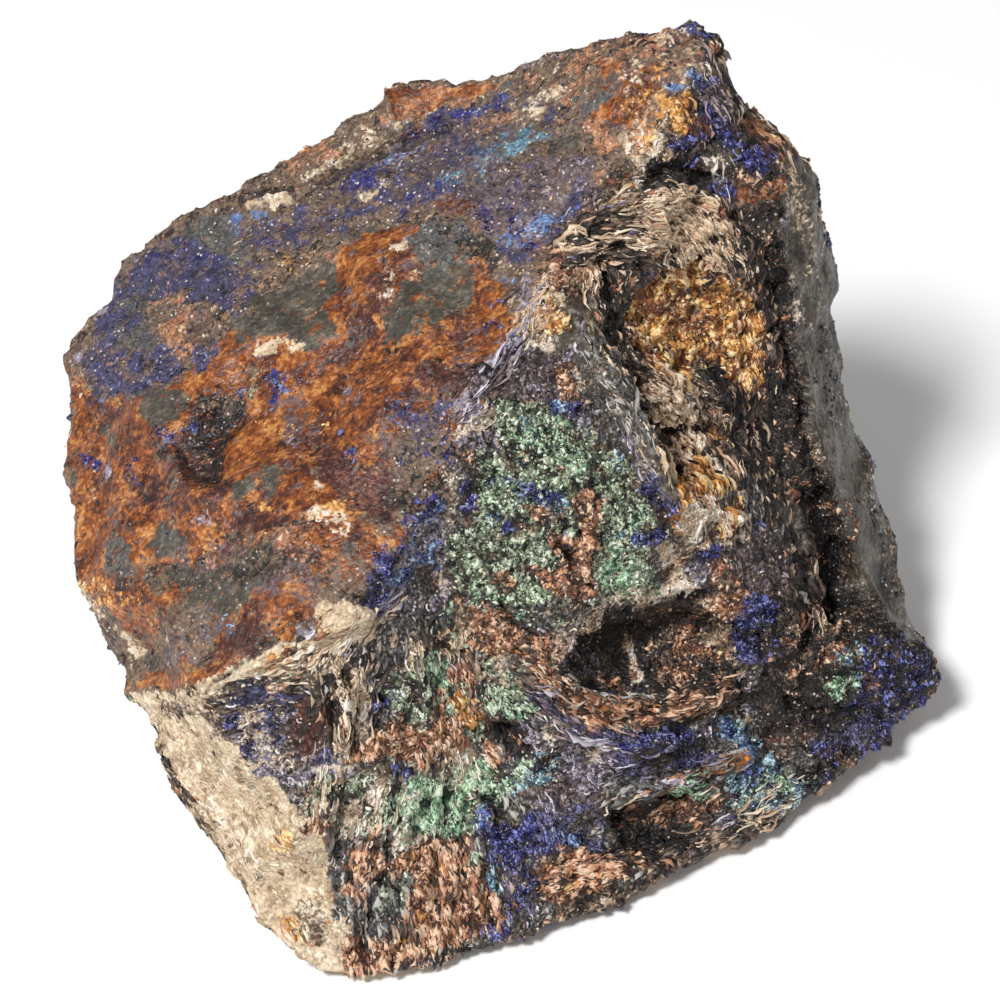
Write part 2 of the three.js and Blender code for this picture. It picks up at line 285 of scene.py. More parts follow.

# %% Where they lie: strength, half width (0 for an area), places
# Rows of "dark" here lay painted shade into voids, hollows and under ledges, as well as near-black
# matter.
PLACES = [
    ("slate", (0.6, 0, 375,610, 450,470, 470,400, 520,340, 600,340, 660,480, 760,480, 860,600,
     940,650, 930,700, 840,780, 740,840, 560,920, 450,960, 345,990, 330,900, 320,840, 262,770,
     205,715, 300,680), (1, 0, 180,228, 205,214, 240,212, 245,235, 245,262, 215,268, 196,255,
     186,240)),
    ("lilac", (0.25, 0, 375,610, 450,470, 470,400, 520,340, 600,340, 660,480, 760,560, 760,700,
     740,840, 560,920, 450,960, 345,990, 330,900, 320,840, 262,770, 205,715, 300,680)),
    ("dark", (0.75, 0, 398,592, 420,572, 440,562, 447,590, 450,625, 430,632, 415,622, 402,612),
     (0.85, 0, 775,690, 815,685, 850,700, 868,730, 850,760, 815,750, 780,735)),
    ("brown", (1, 0, 170,225, 205,200, 245,192, 275,175, 290,150, 305,140, 335,136, 355,118,
     372,100, 385,85, 470,80, 530,52, 562,42, 590,46, 600,60, 560,110, 500,130, 440,160, 380,190,
     330,215, 245,212, 205,214, 178,228)),
    ("rust", (0.8, 0, 385,84, 470,80, 505,72, 500,90, 470,100, 440,112, 400,122, 388,118), (0.6, 0,
     282,175, 290,152, 305,142, 330,140, 345,150, 310,165, 292,182), (0.9, 0, 545,95, 560,62,
     600,47, 640,36, 672,22, 692,20, 665,45, 640,60, 606,100, 575,112), (0.8, 0, 520,640, 550,634,
     576,645, 572,656, 540,661, 525,651)),
    ("dark", (0.8, 0, 672,22, 700,22, 716,42, 726,70, 735,100, 728,112, 716,100, 712,60, 696,46,
     682,40, 664,42), (0.9, 5, 142,243, 165,234)),
    ("cream", (1, 5, 248,204, 268,202, 282,196), (0.5, 4, 345,145, 380,130, 410,120, 440,108),
     (0.6, 8, 660,40, 690,30)),
    ("azurite", (1, 5.5, 470,482, 472,506), (0.7, 7, 684,26, 706,32)),
    ("amber", (1, 0, 66,368, 100,398, 165,392, 215,345, 240,312, 330,255, 370,230, 430,225,
     480,240, 500,280, 520,330, 500,380, 462,440, 430,520, 385,560, 340,600, 290,640, 205,685,
     135,692, 150,650, 80,590, 66,570, 74,520, 64,455, 74,400), (0.9, 0, 600,62, 640,58, 662,60,
     668,72, 652,92, 642,104, 640,125, 615,135, 590,118, 585,105, 598,90)),
    ("slate", (0.9, 0, 420,222, 470,220, 476,240, 466,265, 440,270, 415,262, 412,240), (0.9, 0,
     100,542, 110,535, 122,537, 130,548, 135,562, 128,576, 115,581, 105,573, 108,560, 100,553),
     (0.6, 6, 495,95, 510,85)),
    ("olive", (1, 0, 228,490, 240,480, 250,470, 258,478, 252,492, 240,500, 230,500), (0.9, 0,
     262,462, 275,460, 284,470, 279,490, 268,498, 262,485), (1, 0, 150,546, 160,526, 172,520,
     185,532, 190,540, 180,546, 170,551, 155,553), (0.9, 5, 108,432, 108,442), (0.9, 7, 74,476)),
    ("brown", (1, 0, 218,312, 228,295, 262,278, 300,258, 328,238, 345,232, 332,262, 300,278,
     262,292, 240,312), (0.6, 0, 120,565, 145,552, 160,560, 150,580, 130,582), (0.7, 0, 130,615,
     165,600, 215,600, 250,585, 240,620, 215,640, 215,660, 180,680, 150,672, 150,640, 110,618),
     (0.8, 0, 300,600, 310,580, 330,563, 360,543, 376,560, 370,590, 350,600, 330,603)),
    ("ochre", (1, 0, 303,505, 315,502, 335,499, 350,503, 340,516, 325,520, 318,531, 305,524),
     (0.7, 0, 75,580, 100,578, 120,590, 150,598, 122,612, 100,612, 80,597), (0.8, 8, 262,508),
     (0.6, 6, 300,148, 325,143)),
    ("cream", (0.7, 5, 78,588, 90,605, 102,618), (1, 5, 396,243, 408,243), (0.8, 0, 614,142,
     640,125, 660,130, 670,141, 656,156, 640,166, 626,152), (0.6, 10, 318,512, 345,525)),
    ("dark", (1, 0, 160,440, 185,426, 198,405, 220,386, 240,398, 246,415, 236,432, 222,440,
     218,480, 200,484, 185,476, 165,468, 157,452), (0.5, 3, 545,95, 590,60, 640,40), (0.7, 9,
     115,560)),
    ("flame", (1, 13, 250,440, 238,470), (0.8, 10, 300,475, 292,498), (0.9, 7, 120,640, 130,652),
     (0.6, 9, 585,82), (0.9, 6, 632,174, 622,192)),
    ("olive", (1, 0, 238,342, 230,322, 236,305, 262,288, 300,278, 325,262, 336,270, 334,290,
     320,308, 338,320, 340,334, 325,345, 314,352, 300,346, 285,338), (0.8, 7, 140,656, 152,664),
     (0.7, 8, 350,550), (0.4, 14, 310,300, 270,310)),
    ("red", (0.6, 0, 345,262, 372,265, 388,290, 398,330, 400,350, 440,350, 462,352, 462,400,
     420,408, 380,395, 330,392, 300,385, 325,350, 345,335, 335,300), (0.8, 0, 118,470, 160,458,
     186,478, 205,482, 195,492, 150,497, 130,492), (1, 0, 218,642, 235,628, 262,626, 272,636,
     256,646, 236,652, 220,652), (0.7, 0, 395,82, 455,80, 470,84, 440,95, 400,96), (0.75, 0,
     160,440, 185,426, 198,405, 220,386, 240,398, 246,415, 236,432, 222,440, 218,480, 200,484,
     185,476, 165,468, 157,452)),
    ("flame", (0.5, 12, 145,515), (0.6, 7, 160,664, 150,684, 135,690), (0.5, 10, 320,370),
     (0.5, 16, 240,345, 270,350), (0.7, 12, 260,350, 300,362), (0.7, 10, 345,275, 352,300)),
    ("schist", (1, 0, 200,690, 240,668, 280,650, 320,630, 335,610, 362,605, 375,625, 372,642,
     350,646, 320,665, 280,690, 205,705), (1, 5, 252,208, 275,205, 286,200), (1, 0, 132,696,
     200,690, 206,715, 216,735, 245,750, 266,770, 291,800, 306,820, 326,845, 326,870, 331,900,
     336,940, 347,987, 330,982, 300,967, 255,917, 240,880, 205,825, 160,745, 140,712), (0.5, 6,
     262,350, 300,345)),
    ("dark", (0.8, 2.5, 472,82, 420,81), (0.75, 7, 222,400, 218,430, 208,455), (0.5, 8, 150,500,
     190,470)),
    ("ochre", (0.7, 10, 330,408, 322,425), (0.8, 12, 325,622), (1, 7, 284,838, 278,850), (0.8, 3,
     280,915, 305,938)),
    ("lilac", (0.45, 8, 265,412, 285,405), (0.9, 7, 110,468), (0.5, 10, 203,520), (0.7, 9,
     353,398)),
    ("flame", (0.7, 14, 235,452, 255,446), (0.6, 18, 110,500, 90,520), (0.7, 12, 100,520)),
    ("slate", (1, 6, 351,338), (0.9, 6, 326,246, 350,234, 370,228), (0.8, 0, 365,650, 400,628,
     415,640, 422,660, 400,672, 385,662)),
    ("violet", (0.55, 0, 80,350, 100,345, 150,325, 165,345, 215,340, 215,350, 205,372, 180,375,
     165,392, 130,395, 110,388, 90,400, 80,372), (0.35, 0, 370,410, 400,395, 440,400, 460,380,
     480,360, 500,350, 480,400, 455,440, 430,480, 400,470, 380,450), (0.9, 4, 255,266, 275,250,
     300,239, 322,233, 345,226)),
    ("rust", (0.8, 0, 205,540, 240,530, 290,525, 320,545, 310,560, 262,570, 240,585, 200,600,
     195,575), (0.9, 0, 163,330, 165,320, 190,308, 205,310, 205,318, 190,326, 192,340, 185,356,
     168,355, 164,342), (1, 6, 95,386), (0.7, 12, 172,335, 180,350)),
    ("cream", (0.5, 9, 388,275), (0.5, 6, 180,760, 230,830, 270,890)),
    ("brown", (0.8, 0, 385,470, 400,430, 430,412, 452,440, 455,480, 445,520, 425,540, 400,562,
     380,545, 375,505), (1, 0, 262,650, 300,640, 340,655, 335,690, 300,690, 262,700, 240,735,
     215,735, 204,712, 210,700), (0.35, 4, 215,745, 255,795, 300,830), (0.3, 3, 165,730, 210,800,
     260,880)),
    ("azurite", (0.9, 6, 90,405), (0.8, 7, 84,458, 96,466), (0.7, 7, 132,470, 138,490), (0.7, 5,
     390,412, 402,420)),
    ("lilac", (0.4, 10, 378,260), (0.85, 0, 520,290, 536,300, 530,340, 510,362, 480,382, 465,398,
     455,400, 460,384, 480,360, 500,350, 506,330), (0.6, 12, 520,370, 500,390)),
    ("olive", (1, 0, 388,345, 386,325, 396,300, 402,285, 430,268, 466,265, 478,278, 470,302,
     446,318, 430,326, 415,336, 400,346), (1, 0, 145,392, 165,388, 185,392, 190,402, 176,415,
     160,425, 148,422, 143,405), (0.7, 0, 215,612, 235,590, 252,580, 255,600, 232,612, 222,622)),
    ("red", (0.9, 0, 425,330, 445,312, 460,312, 472,330, 478,350, 455,352, 430,346), (0.7, 4,
     200,205, 255,195)),
    ("plum", (1, 0, 400,165, 420,145, 450,130, 480,118, 510,120, 520,150, 500,175, 540,160,
     590,155, 606,165, 600,200, 570,225, 540,240, 500,238, 480,225, 470,215, 440,200, 420,205,
     395,195), (0.7, 0, 700,90, 728,95, 735,115, 720,125, 705,110), (0.5, 0, 160,545, 230,540,
     290,560, 330,575, 300,600, 230,590, 170,580)),
    ("ochre", (0.7, 10, 285,432), (1, 7, 378,320), (0.9, 0, 658,102, 685,94, 700,105, 706,120,
     690,137, 672,128, 660,118), (0.7, 7, 205,548)),
    ("slate", (0.6, 5, 75,350, 95,335), (0.8, 5, 556,150, 575,128, 592,106), (0.8, 10, 170,535),
     (0.7, 8, 232,588, 250,582)),
    ("amber", (0.8, 0, 384,92, 400,86, 440,85, 480,82, 500,86, 470,96, 430,112, 395,122), (0.8, 16,
     380,370, 420,350)),
    ("dark", (0.7, 0, 402,478, 425,475, 436,500, 430,520, 405,525, 398,505), (0.9, 0, 645,165,
     660,155, 680,140, 700,130, 730,125, 750,140, 775,165, 770,185, 750,180, 735,178, 730,195,
     705,195, 690,185, 675,182, 655,185), (0.35, 9, 420,335)),
    ("azurite", (0.8, 0, 665,150, 690,136, 716,126, 735,126, 745,140, 772,150, 772,162, 758,176,
     744,168, 734,150, 705,143, 696,160, 698,182, 684,180, 676,165), (0.6, 6, 440,192, 470,182,
     500,172), (1, 7, 711,108, 716,119), (0.9, 5, 490,305, 505,300)),
    ("mica", (1, 0, 605,218, 640,198, 668,188, 690,192, 712,212, 730,240, 724,272, 700,262,
     680,256, 660,252, 640,248, 560,252, 560,240, 620,236, 650,236, 645,215, 620,212), (0.8, 4,
     670,150, 665,160), (1, 0, 536,275, 560,262, 600,265, 606,290, 600,310, 590,340, 575,350,
     556,346, 540,352, 520,346, 506,332, 515,310, 526,290)),
    ("rust", (0.9, 8, 412,278), (0.8, 8, 600,175), (0.9, 0, 592,118, 612,120, 620,140, 610,155,
     595,152, 588,135)),
    ("sky", (0.9, 7, 222,625), (0.9, 5, 508,278, 512,284), (0.8, 4, 166,437, 185,428, 200,420)),
    ("amber", (0.8, 0, 728,104, 745,110, 762,126, 768,132, 750,136, 735,126), (0.8, 0, 735,180,
     755,177, 782,174, 786,190, 770,202, 745,202, 735,192), (0.8, 10, 690,266)),
    ("cream", (0.45, 10, 385,295), (0.8, 6, 664,241), (0.2, 10, 100,440, 95,480, 100,520)),
    ("flame", (1, 8, 614,226), (0.9, 7, 553,276), (0.8, 9, 270,590, 288,584)),
    ("olive", (0.7, 12, 155,582, 190,574), (0.5, 20, 200,600, 260,565)),
    ("lilac", (0.6, 5, 290,440, 291,455), (0.8, 3, 70,364, 90,345, 104,322), (0.4, 20, 440,60,
     560,45)),
    ("dark", (0.6, 14, 165,570, 150,600), (0.4, 20, 190,575, 280,560), (0.5, 0, 185,400, 215,385,
     240,400, 225,440, 215,480, 190,485, 172,460)),
    ("red", (1, 0, 322,462, 345,452, 380,475, 402,478, 400,500, 386,527, 370,520, 362,502, 340,490,
     325,478), (0.6, 12, 250,520, 230,545), (0.4, 8, 180,430, 190,470), (0.7, 8, 140,500, 180,510,
     210,492)),
    ("flame", (0.9, 8, 352,428, 368,455), (0.6, 14, 330,410, 345,430), (0.8, 8, 232,450, 240,468,
     252,440)),
    ("azurite", (0.7, 0, 495,236, 515,225, 540,225, 560,214, 576,204, 582,215, 566,231, 545,246,
     530,256, 510,260, 500,251), (0.3, 0, 140,265, 300,175, 480,112, 600,80, 570,140, 520,240,
     470,230, 300,235, 190,300, 110,350, 90,330), (0.8, 5, 160,432, 176,422, 190,418)),
    ("sky", (0.8, 6, 545,222, 560,218), (0.7, 20, 515,232, 530,228), (0.8, 6, 348,214, 392,202),
     (0.8, 6, 240,390, 252,384)),
    ("dark", (0.9, 6, 568,236, 590,230), (0.9, 5, 566,232, 606,227), (0.6, 6, 258,548, 268,562),
     (0.5, 6, 215,525, 232,535), (0.6, 6, 235,580, 262,560)),
    ("violet", (0.9, 7, 578,180, 576,196), (0.7, 0, 240,680, 262,682, 290,700, 300,700, 285,720,
     285,760, 325,745, 335,760, 320,775, 290,770, 262,765, 240,745, 226,735, 232,708), (0.7, 5,
     500,250, 530,258, 545,246), (0.5, 14, 478,330, 450,400, 400,470), (0.75, 0, 163,240, 188,240,
     205,262, 240,262, 238,285, 205,300, 180,305, 165,310, 150,302, 118,350, 100,345, 97,330,
     115,300, 130,278, 150,258), (0.5, 14, 200,320, 210,360)),
    ("rust", (0.8, 0, 770,132, 788,136, 788,150, 776,150), (0.7, 5, 78,372, 78,392), (0.6, 5,
     268,690, 300,680), (0.8, 9, 150,310, 160,296, 178,294), (0.6, 12, 110,365, 120,378)),
    ("azurite", (1, 6, 756,158, 766,152), (0.8, 6, 238,705, 228,725), (0.5, 12, 445,440, 425,500,
     385,560, 372,600), (0.9, 5, 488,330, 496,326)),
    ("red", (1, 0, 285,737, 290,715, 300,700, 320,698, 327,720, 322,746, 300,762, 284,756),
     (0.6, 12, 475,250, 490,262), (0.5, 12, 290,560, 330,545, 345,575)),
    ("lilac", (0.4, 14, 515,232, 530,228), (0.7, 9, 128,262, 112,285, 100,310)),
    ("slate", (0.45, 18, 440,240, 430,270), (0.7, 16, 205,240, 232,245)),
    ("plum", (0.7, 0, 500,360, 540,352, 560,360, 575,370, 590,400, 602,420, 590,430, 560,415,
     540,402, 510,400, 490,396, 478,402, 482,380), (0.4, 18, 300,430, 290,400)),
    ("cream", (0.5, 12, 322,482), (0.7, 8, 455,405, 470,395)),
    ("lilac", (0.8, 5, 530,388, 542,392), (0.7, 7, 470,390, 490,372), (0.35, 8, 400,232, 420,245)),
    ("dark", (0.3, 10, 300,572, 335,560)),
    ("olive", (0.6, 7, 368,522)),
    ("red", (0.8, 18, 335,470, 372,492), (0.6, 16, 430,370, 462,385), (0.7, 9, 335,470, 360,490,
     390,500)),
    ("green", (1, 0, 478,418, 500,402, 530,405, 560,412, 590,430, 612,445, 632,470, 642,492,
     655,520, 650,570, 656,590, 640,600, 620,605, 600,602, 560,600, 522,612, 500,600, 460,592,
     450,560, 438,545, 470,520, 480,500, 470,460)),
    ("sky", (1, 5, 555,407), (1, 5, 637,538), (0.6, 12, 240,222, 275,228)),
    ("dark", (1, 0, 585,622, 600,606, 640,602, 656,590, 680,582, 722,600, 732,640, 716,688,
     680,700, 640,695, 600,690, 575,672, 568,652, 580,636), (0.7, 3, 500,602, 515,622, 535,638),
     (0.45, 10, 420,400, 440,430)),
    ("azurite", (1, 7, 510,525), (0.6, 5, 345,440, 352,452), (0.5, 10, 260,240, 300,225)),
    ("violet", (0.6, 5, 285,235, 330,215, 370,210), (0.6, 7, 392,400, 420,425)),
    ("rust", (0.9, 6, 500,574, 508,585), (0.9, 8, 540,680, 560,694, 600,712, 650,718, 700,710,
     722,696), (0.7, 8, 445,600, 480,625, 520,635)),
    ("red", (0.8, 0, 652,508, 673,506, 673,530, 660,537, 655,525), (0.5, 5, 275,232, 320,212)),
    ("mint", (0.7, 8, 635,520), (0.5, 10, 450,612, 462,640), (0.35, 14, 480,600, 520,615)),
    ("quartz", (1, 0, 697,152, 715,145, 728,145, 731,165, 715,177, 700,171), (1, 0, 560,304,
     580,297, 593,302, 596,315, 591,331, 597,340, 612,352, 621,375, 634,402, 642,430, 657,455,
     672,480, 675,508, 660,497, 645,477, 625,457, 610,432, 598,410, 588,382, 572,362, 560,355,
     554,340, 559,320)),
    ("dark", (0.8, 0, 600,248, 645,250, 642,300, 632,345, 618,352, 604,338, 600,315, 604,290),
     (0.6, 12, 640,180, 668,176, 690,166), (0.6, 6, 690,150, 720,140)),
    ("cream", (0.8, 4, 515,340, 530,345, 548,353), (0.4, 12, 450,480, 440,530), (0.5, 4, 700,152,
     722,160), (0.35, 6, 640,188, 646,210)),
    ("ochre", (1, 0, 638,302, 645,288, 665,270, 700,262, 732,280, 750,290, 763,320, 769,350,
     766,386, 750,402, 742,380, 720,370, 700,362, 686,382, 665,380, 650,362, 636,350, 630,330),
     (1, 6, 552,312, 553,332), (1, 7, 702,350)),
    ("dark", (0.9, 0, 714,360, 730,372, 742,385, 748,402, 725,408, 710,392, 700,378), (0.75, 0,
     722,210, 745,204, 776,204, 786,250, 790,330, 800,400, 815,470, 822,520, 800,520, 770,500,
     740,470, 730,440, 735,400, 768,385, 768,340, 752,290, 735,272, 730,240), (0.45, 14, 400,450,
     425,480)),
    ("lilac", (0.9, 6, 720,184), (0.6, 8, 575,350, 568,362), (0.6, 8, 525,270, 530,300, 515,345)),
    ("azurite", (1, 7, 742,160), (0.9, 3, 712,192, 735,193), (1, 5.5, 648,541, 661,534), (0.7, 8,
     700,110, 715,130)),
    ("flame", (0.8, 8, 680,358), (0.6, 5, 752,380, 757,392), (0.7, 12, 290,400, 320,390)),
    ("violet", (0.8, 8, 645,468, 652,485), (1, 5, 712,277), (0.85, 9, 535,702, 570,722, 610,740,
     660,744, 690,738)),
    ("amber", (0.8, 10, 648,296, 662,308), (0.6, 8, 690,300, 700,320), (0.9, 0, 432,200, 455,192,
     478,196, 480,208, 460,216, 438,212)),
    ("mica", (1, 0, 636,378, 665,376, 682,392, 692,425, 704,448, 712,462, 700,470, 676,462,
     672,440, 650,412, 640,396), (0.9, 4.5, 624,355, 650,370, 680,386, 697,391), (0.6, 4, 633,258,
     633,290), (0.9, 5, 640,645, 643,666), (0.7, 0, 700,600, 735,590, 745,600, 735,640, 738,680,
     720,695, 700,690, 690,650)),
    ("red", (0.9, 0, 658,427, 680,418, 691,425, 686,436, 668,441), (0.8, 3, 560,290, 590,294),
     (0.5, 10, 740,130, 760,150)),
    ("cream", (0.7, 5, 578,372, 582,390), (0.4, 8, 660,330, 655,345), (0.9, 4, 683,400, 690,420,
     702,438), (0.7, 5, 545,300, 560,330, 552,350), (0.8, 4, 642,640, 648,668)),
    ("ochre", (0.7, 0, 675,462, 700,450, 714,460, 722,475, 735,488, 722,502, 695,505, 684,540,
     674,520, 676,490), (0.9, 5, 745,310, 752,330), (0.8, 5, 718,426, 731,446)),
    ("dark", (0.7, 3, 636,366, 652,378, 672,388), (0.7, 9, 612,265, 610,300, 618,340), (0.7, 6,
     640,395, 662,440, 676,470), (0.5, 9, 615,235, 640,262), (0.25, 14, 680,300, 700,340,
     730,360)),
    ("rust", (1, 8, 560,380, 568,390), (0.9, 6, 628,674), (0.6, 5, 555,275, 590,280), (0.6, 8,
     540,250, 560,262), (0.5, 5, 610,262, 618,290)),
    ("azurite", (1, 5, 566,405, 577,410), (0.9, 4.5, 645,490, 660,502, 672,508), (0.8, 7, 268,372,
     282,386, 276,400)),
    ("plum", (0.8, 0, 720,545, 760,520, 800,560, 815,600, 800,640, 790,600, 760,598, 735,600,
     722,590), (0.5, 12, 700,60, 710,90)),
    ("cream", (0.9, 5, 714,463, 722,468), (0.8, 3.5, 746,534, 725,546), (0.7, 10, 690,520, 710,505,
     728,520)),
    ("quartz", (1, 0, 786,150, 806,160, 816,180, 813,195, 823,215, 829,245, 845,262, 846,285,
     838,310, 850,350, 855,410, 872,480, 890,540, 905,600, 925,640, 900,640, 865,600, 850,560,
     830,520, 812,440, 798,380, 790,330, 786,250, 783,200), (0.9, 0, 775,500, 793,498, 802,520,
     812,560, 818,592, 802,584, 790,550, 781,530)),
    ("lilac", (0.6, 8, 570,420, 585,428), (0.7, 3, 788,195, 786,228), (0.9, 4, 688,582, 716,570)),
    ("sky", (0.6, 7, 440,505, 432,520), (0.7, 4, 276,378, 284,390)),
    ("green", (0.9, 16, 490,675, 505,700), (0.5, 8, 255,372, 250,400)),
    ("rust", (0.8, 8, 460,668, 462,690), (0.7, 6, 556,375, 572,392)),
    ("dark", (0.5, 7, 712,32, 722,55), (0.45, 10, 600,238, 640,250)),
    ("mint", (0.45, 16, 520,440, 555,430), (0.4, 12, 590,470, 560,455)),
    ("violet", (1, 0, 745,600, 775,598, 800,610, 800,640, 785,662, 760,668, 738,655, 732,630),
     (0.9, 7, 757,526)),
    ("olive", (0.7, 5, 650,620, 668,608), (0.6, 4, 625,640, 605,668)),
    ("green", (0.8, 0, 395,665, 420,660, 450,700, 470,700, 520,660, 524,700, 500,720, 480,735,
     470,760, 500,770, 505,800, 470,840, 400,850, 380,812, 345,780, 380,765, 400,720, 385,700)),
    ("slate", (0.8, 6, 602,440, 618,442), (0.6, 12, 390,640, 410,655)),
    ("teal", (0.45, 0, 482,475, 520,478, 560,490, 576,505, 560,516, 540,506, 500,490), (0.9, 5,
     622,455, 623,468)),
    ("rust", (1, 0, 572,500, 585,490, 600,500, 601,520, 595,545, 590,570, 596,590, 580,601,
     560,598, 545,590, 534,576, 530,564, 545,572, 556,580, 560,560, 545,540, 550,530, 565,535,
     578,540, 578,520), (0.7, 0, 520,503, 552,510, 552,522, 532,520), (0.85, 0, 385,726, 395,714,
     402,730, 420,735, 440,720, 462,714, 462,745, 440,772, 420,762, 405,750, 385,756, 365,762,
     350,756, 366,740), (0.9, 0, 485,734, 495,740, 501,760, 492,769, 484,755)),
    ("mint", (1, 0, 600,562, 620,555, 642,570, 656,586, 646,600, 625,606, 608,600, 598,580),
     (0.4, 14, 500,500, 520,495), (0.6, 0, 362,790, 382,770, 402,772, 440,790, 460,772, 490,782,
     496,796, 470,838, 430,838, 400,852, 386,826, 376,810), (0.8, 7, 432,658, 440,690, 436,705),
     (0.75, 0, 598,545, 630,545, 655,575, 656,596, 625,606, 600,600)),
    ("azurite", (0.9, 0, 482,800, 500,818, 515,830, 530,808, 552,820, 580,835, 560,850, 540,856,
     520,850, 512,870, 497,880, 490,852, 482,835, 474,815), (1, 0, 742,608, 760,600, 780,604,
     798,622, 795,645, 780,660, 765,650, 775,632, 760,620, 748,632, 755,648, 745,655, 735,638),
     (0.9, 5, 398,764, 410,775), (1, 9, 500,832, 505,850)),
    ("cream", (0.6, 3.5, 788,275, 797,318, 808,330), (0.75, 0, 336,662, 352,668, 368,690, 374,705,
     358,735, 346,757, 338,745, 342,715, 334,690), (0.45, 0, 398,668, 425,700, 420,725, 392,722,
     386,695), (0.35, 0, 598,545, 630,545, 655,575, 656,596, 625,606, 600,600)),
    ("dark", (0.9, 4, 778,260, 782,310, 790,360, 805,420, 818,475), (1, 5, 560,544, 566,550),
     (0.8, 5, 543,520, 545,532), (0.95, 0, 796,430, 812,440, 830,480, 842,530, 852,580, 856,606,
     838,622, 815,650, 800,668, 786,668, 792,640, 806,610, 812,575, 804,530, 798,480), (0.75, 0,
     764,245, 786,250, 796,330, 806,420, 798,470, 782,490, 766,440, 772,380, 776,320), (0.6, 0,
     716,420, 770,425, 776,485, 742,485, 722,450), (0.9, 3.5, 330,668, 324,700, 332,740), (0.7, 6,
     430,612, 445,650), (0.5, 6, 310,700, 305,745), (0.8, 4, 340,700, 335,735), (0.7, 8, 745,440,
     760,480), (0.6, 8, 770,300, 780,380), (0.6, 6, 800,400, 815,460)),
    ("schist", (0.55, 8, 305,178, 345,155, 400,130), (0.5, 9, 583,320, 600,360, 625,410, 655,470),
     (0.4, 4, 800,185, 806,250, 812,320), (0.5, 5, 790,170, 796,230)),
    ("rust", (0.85, 0, 400,852, 430,838, 470,840, 478,880, 500,900, 520,915, 470,935, 420,950,
     380,968, 345,985, 336,940, 331,900, 345,880, 385,870), (0.95, 0, 540,852, 560,845, 580,848,
     600,862, 622,850, 640,850, 628,872, 600,892, 562,905, 540,900, 534,872), (0.5, 5, 320,160,
     350,146), (0.7, 7, 745,178, 780,192)),
    ("lilac", (0.8, 7, 262,770, 290,776, 320,772, 350,766), (0.5, 9, 392,642, 405,650), (0.35, 14,
     590,645, 610,660), (0.5, 5, 575,330, 590,375, 615,425, 645,470)),
    ("green", (0.9, 7, 480,860), (0.5, 10, 570,610, 560,625)),
    ("mica", (0.7, 12, 690,545, 712,540), (0.5, 8, 350,640, 385,615)),
    ("lilac", (0.4, 10, 585,640, 560,650), (0.35, 20, 400,600, 430,590), (0.5, 12, 380,600,
     410,560, 435,520)),
    ("cream", (0.8, 3.5, 300,771, 330,768, 352,763), (0.9, 9, 668,552, 676,572), (0.5, 3, 816,205,
     826,250), (0.35, 12, 590,620, 560,650)),
    ("ochre", (0.5, 0, 455,695, 480,700, 486,720, 470,736, 455,722), (0.7, 8, 738,505, 725,530),
     (0.6, 6, 552,300, 560,330)),
    ("dark", (0.8, 0, 490,720, 510,705, 520,720, 536,740, 530,752, 505,752, 495,735), (0.5, 0,
     415,590, 445,590, 450,640, 425,650, 410,625), (0.5, 8, 400,610, 430,580), (0.3, 10, 380,490,
     415,508)),
    ("azurite", (0.8, 6, 405,134, 465,112), (0.7, 9, 345,182, 372,166)),
    ("green", (0.6, 12, 490,680, 505,700), (0.75, 0, 300,782, 345,775, 388,778, 386,835, 365,830,
     345,840, 320,830, 300,810)),
    ("cream", (0.55, 0, 300,782, 345,775, 388,778, 386,835, 365,830, 345,840, 320,830, 300,810),
     (0.4, 14, 490,660, 505,700), (0.45, 9, 690,532, 716,515)),
    ("rust", (0.6, 9, 312,825, 328,830), (0.5, 6, 668,575, 682,560), (0.6, 10, 480,640, 520,650)),
    ("sky", (0.7, 6, 470,112, 505,98), (0.85, 10, 390,160, 412,150)),
    ("lilac", (0.6, 5, 690,572, 716,556), (0.4, 14, 250,745, 300,770)),
    ("slate", (0.8, 0, 330,872, 345,872, 356,882, 376,882, 386,870, 412,872, 424,892, 402,925,
     372,950, 350,960, 338,940, 332,900), (0.5, 12, 420,600, 400,630), (0.5, 10, 345,795,
     330,812)),
    ("rust", (1, 7, 346,890, 358,892), (0.9, 9, 368,845, 362,868)),
    ("plum", (0.9, 0, 545,700, 600,730, 620,740, 616,770, 602,802, 570,812, 545,802, 548,770,
     530,740), (0.7, 10, 450,130, 490,122)),
    ("teal", (0.6, 0, 505,775, 520,760, 540,750, 560,745, 566,760, 556,776, 545,790, 530,781,
     520,791, 505,802), (0.4, 0, 482,475, 520,478, 560,490, 576,505, 560,516, 540,506, 500,490)),
    ("dark", (0.8, 7, 385,875), (0.9, 5, 490,800, 500,815), (0.4, 10, 600,470, 590,500)),
    ("mint", (0.9, 4, 520,770, 530,760), (0.6, 12, 460,775, 470,800), (0.7, 0, 428,652, 448,655,
     450,698, 438,702, 426,690)),
    ("violet", (0.85, 0, 618,740, 660,732, 700,742, 720,760, 690,775, 650,778, 630,776, 611,766),
     (0.8, 8, 540,805, 548,830), (0.7, 6, 530,870, 535,895)),
    ("cream", (0.9, 5, 545,722, 553,738), (0.45, 0, 395,778, 440,770, 470,780, 470,835, 400,845),
     (0.5, 10, 455,745, 478,770)),
    ("mint", (0.9, 8, 448,798, 458,828), (0.6, 10, 470,770, 490,785), (0.5, 6, 518,772, 508,790),
     (0.5, 12, 400,800, 440,810), (0.8, 6, 485,765, 498,785)),
    ("azurite", (0.7, 6, 700,560, 712,550), (0.35, 10, 520,485, 555,500)),
    ("quartz", (1, 0, 848,540, 870,545, 905,640, 880,632, 862,625, 852,590), (0.7, 0, 577,345,
     598,322, 620,340, 640,390, 656,430, 672,472, 679,503, 668,516, 652,474, 630,432, 602,408,
     586,380)),
    ("dark", (0.45, 14, 490,440, 520,455), (0.6, 9, 468,452, 475,500)),
    ("rust", (0.5, 10, 420,760, 400,745), (0.8, 0, 385,726, 400,716, 420,732, 445,718, 464,716,
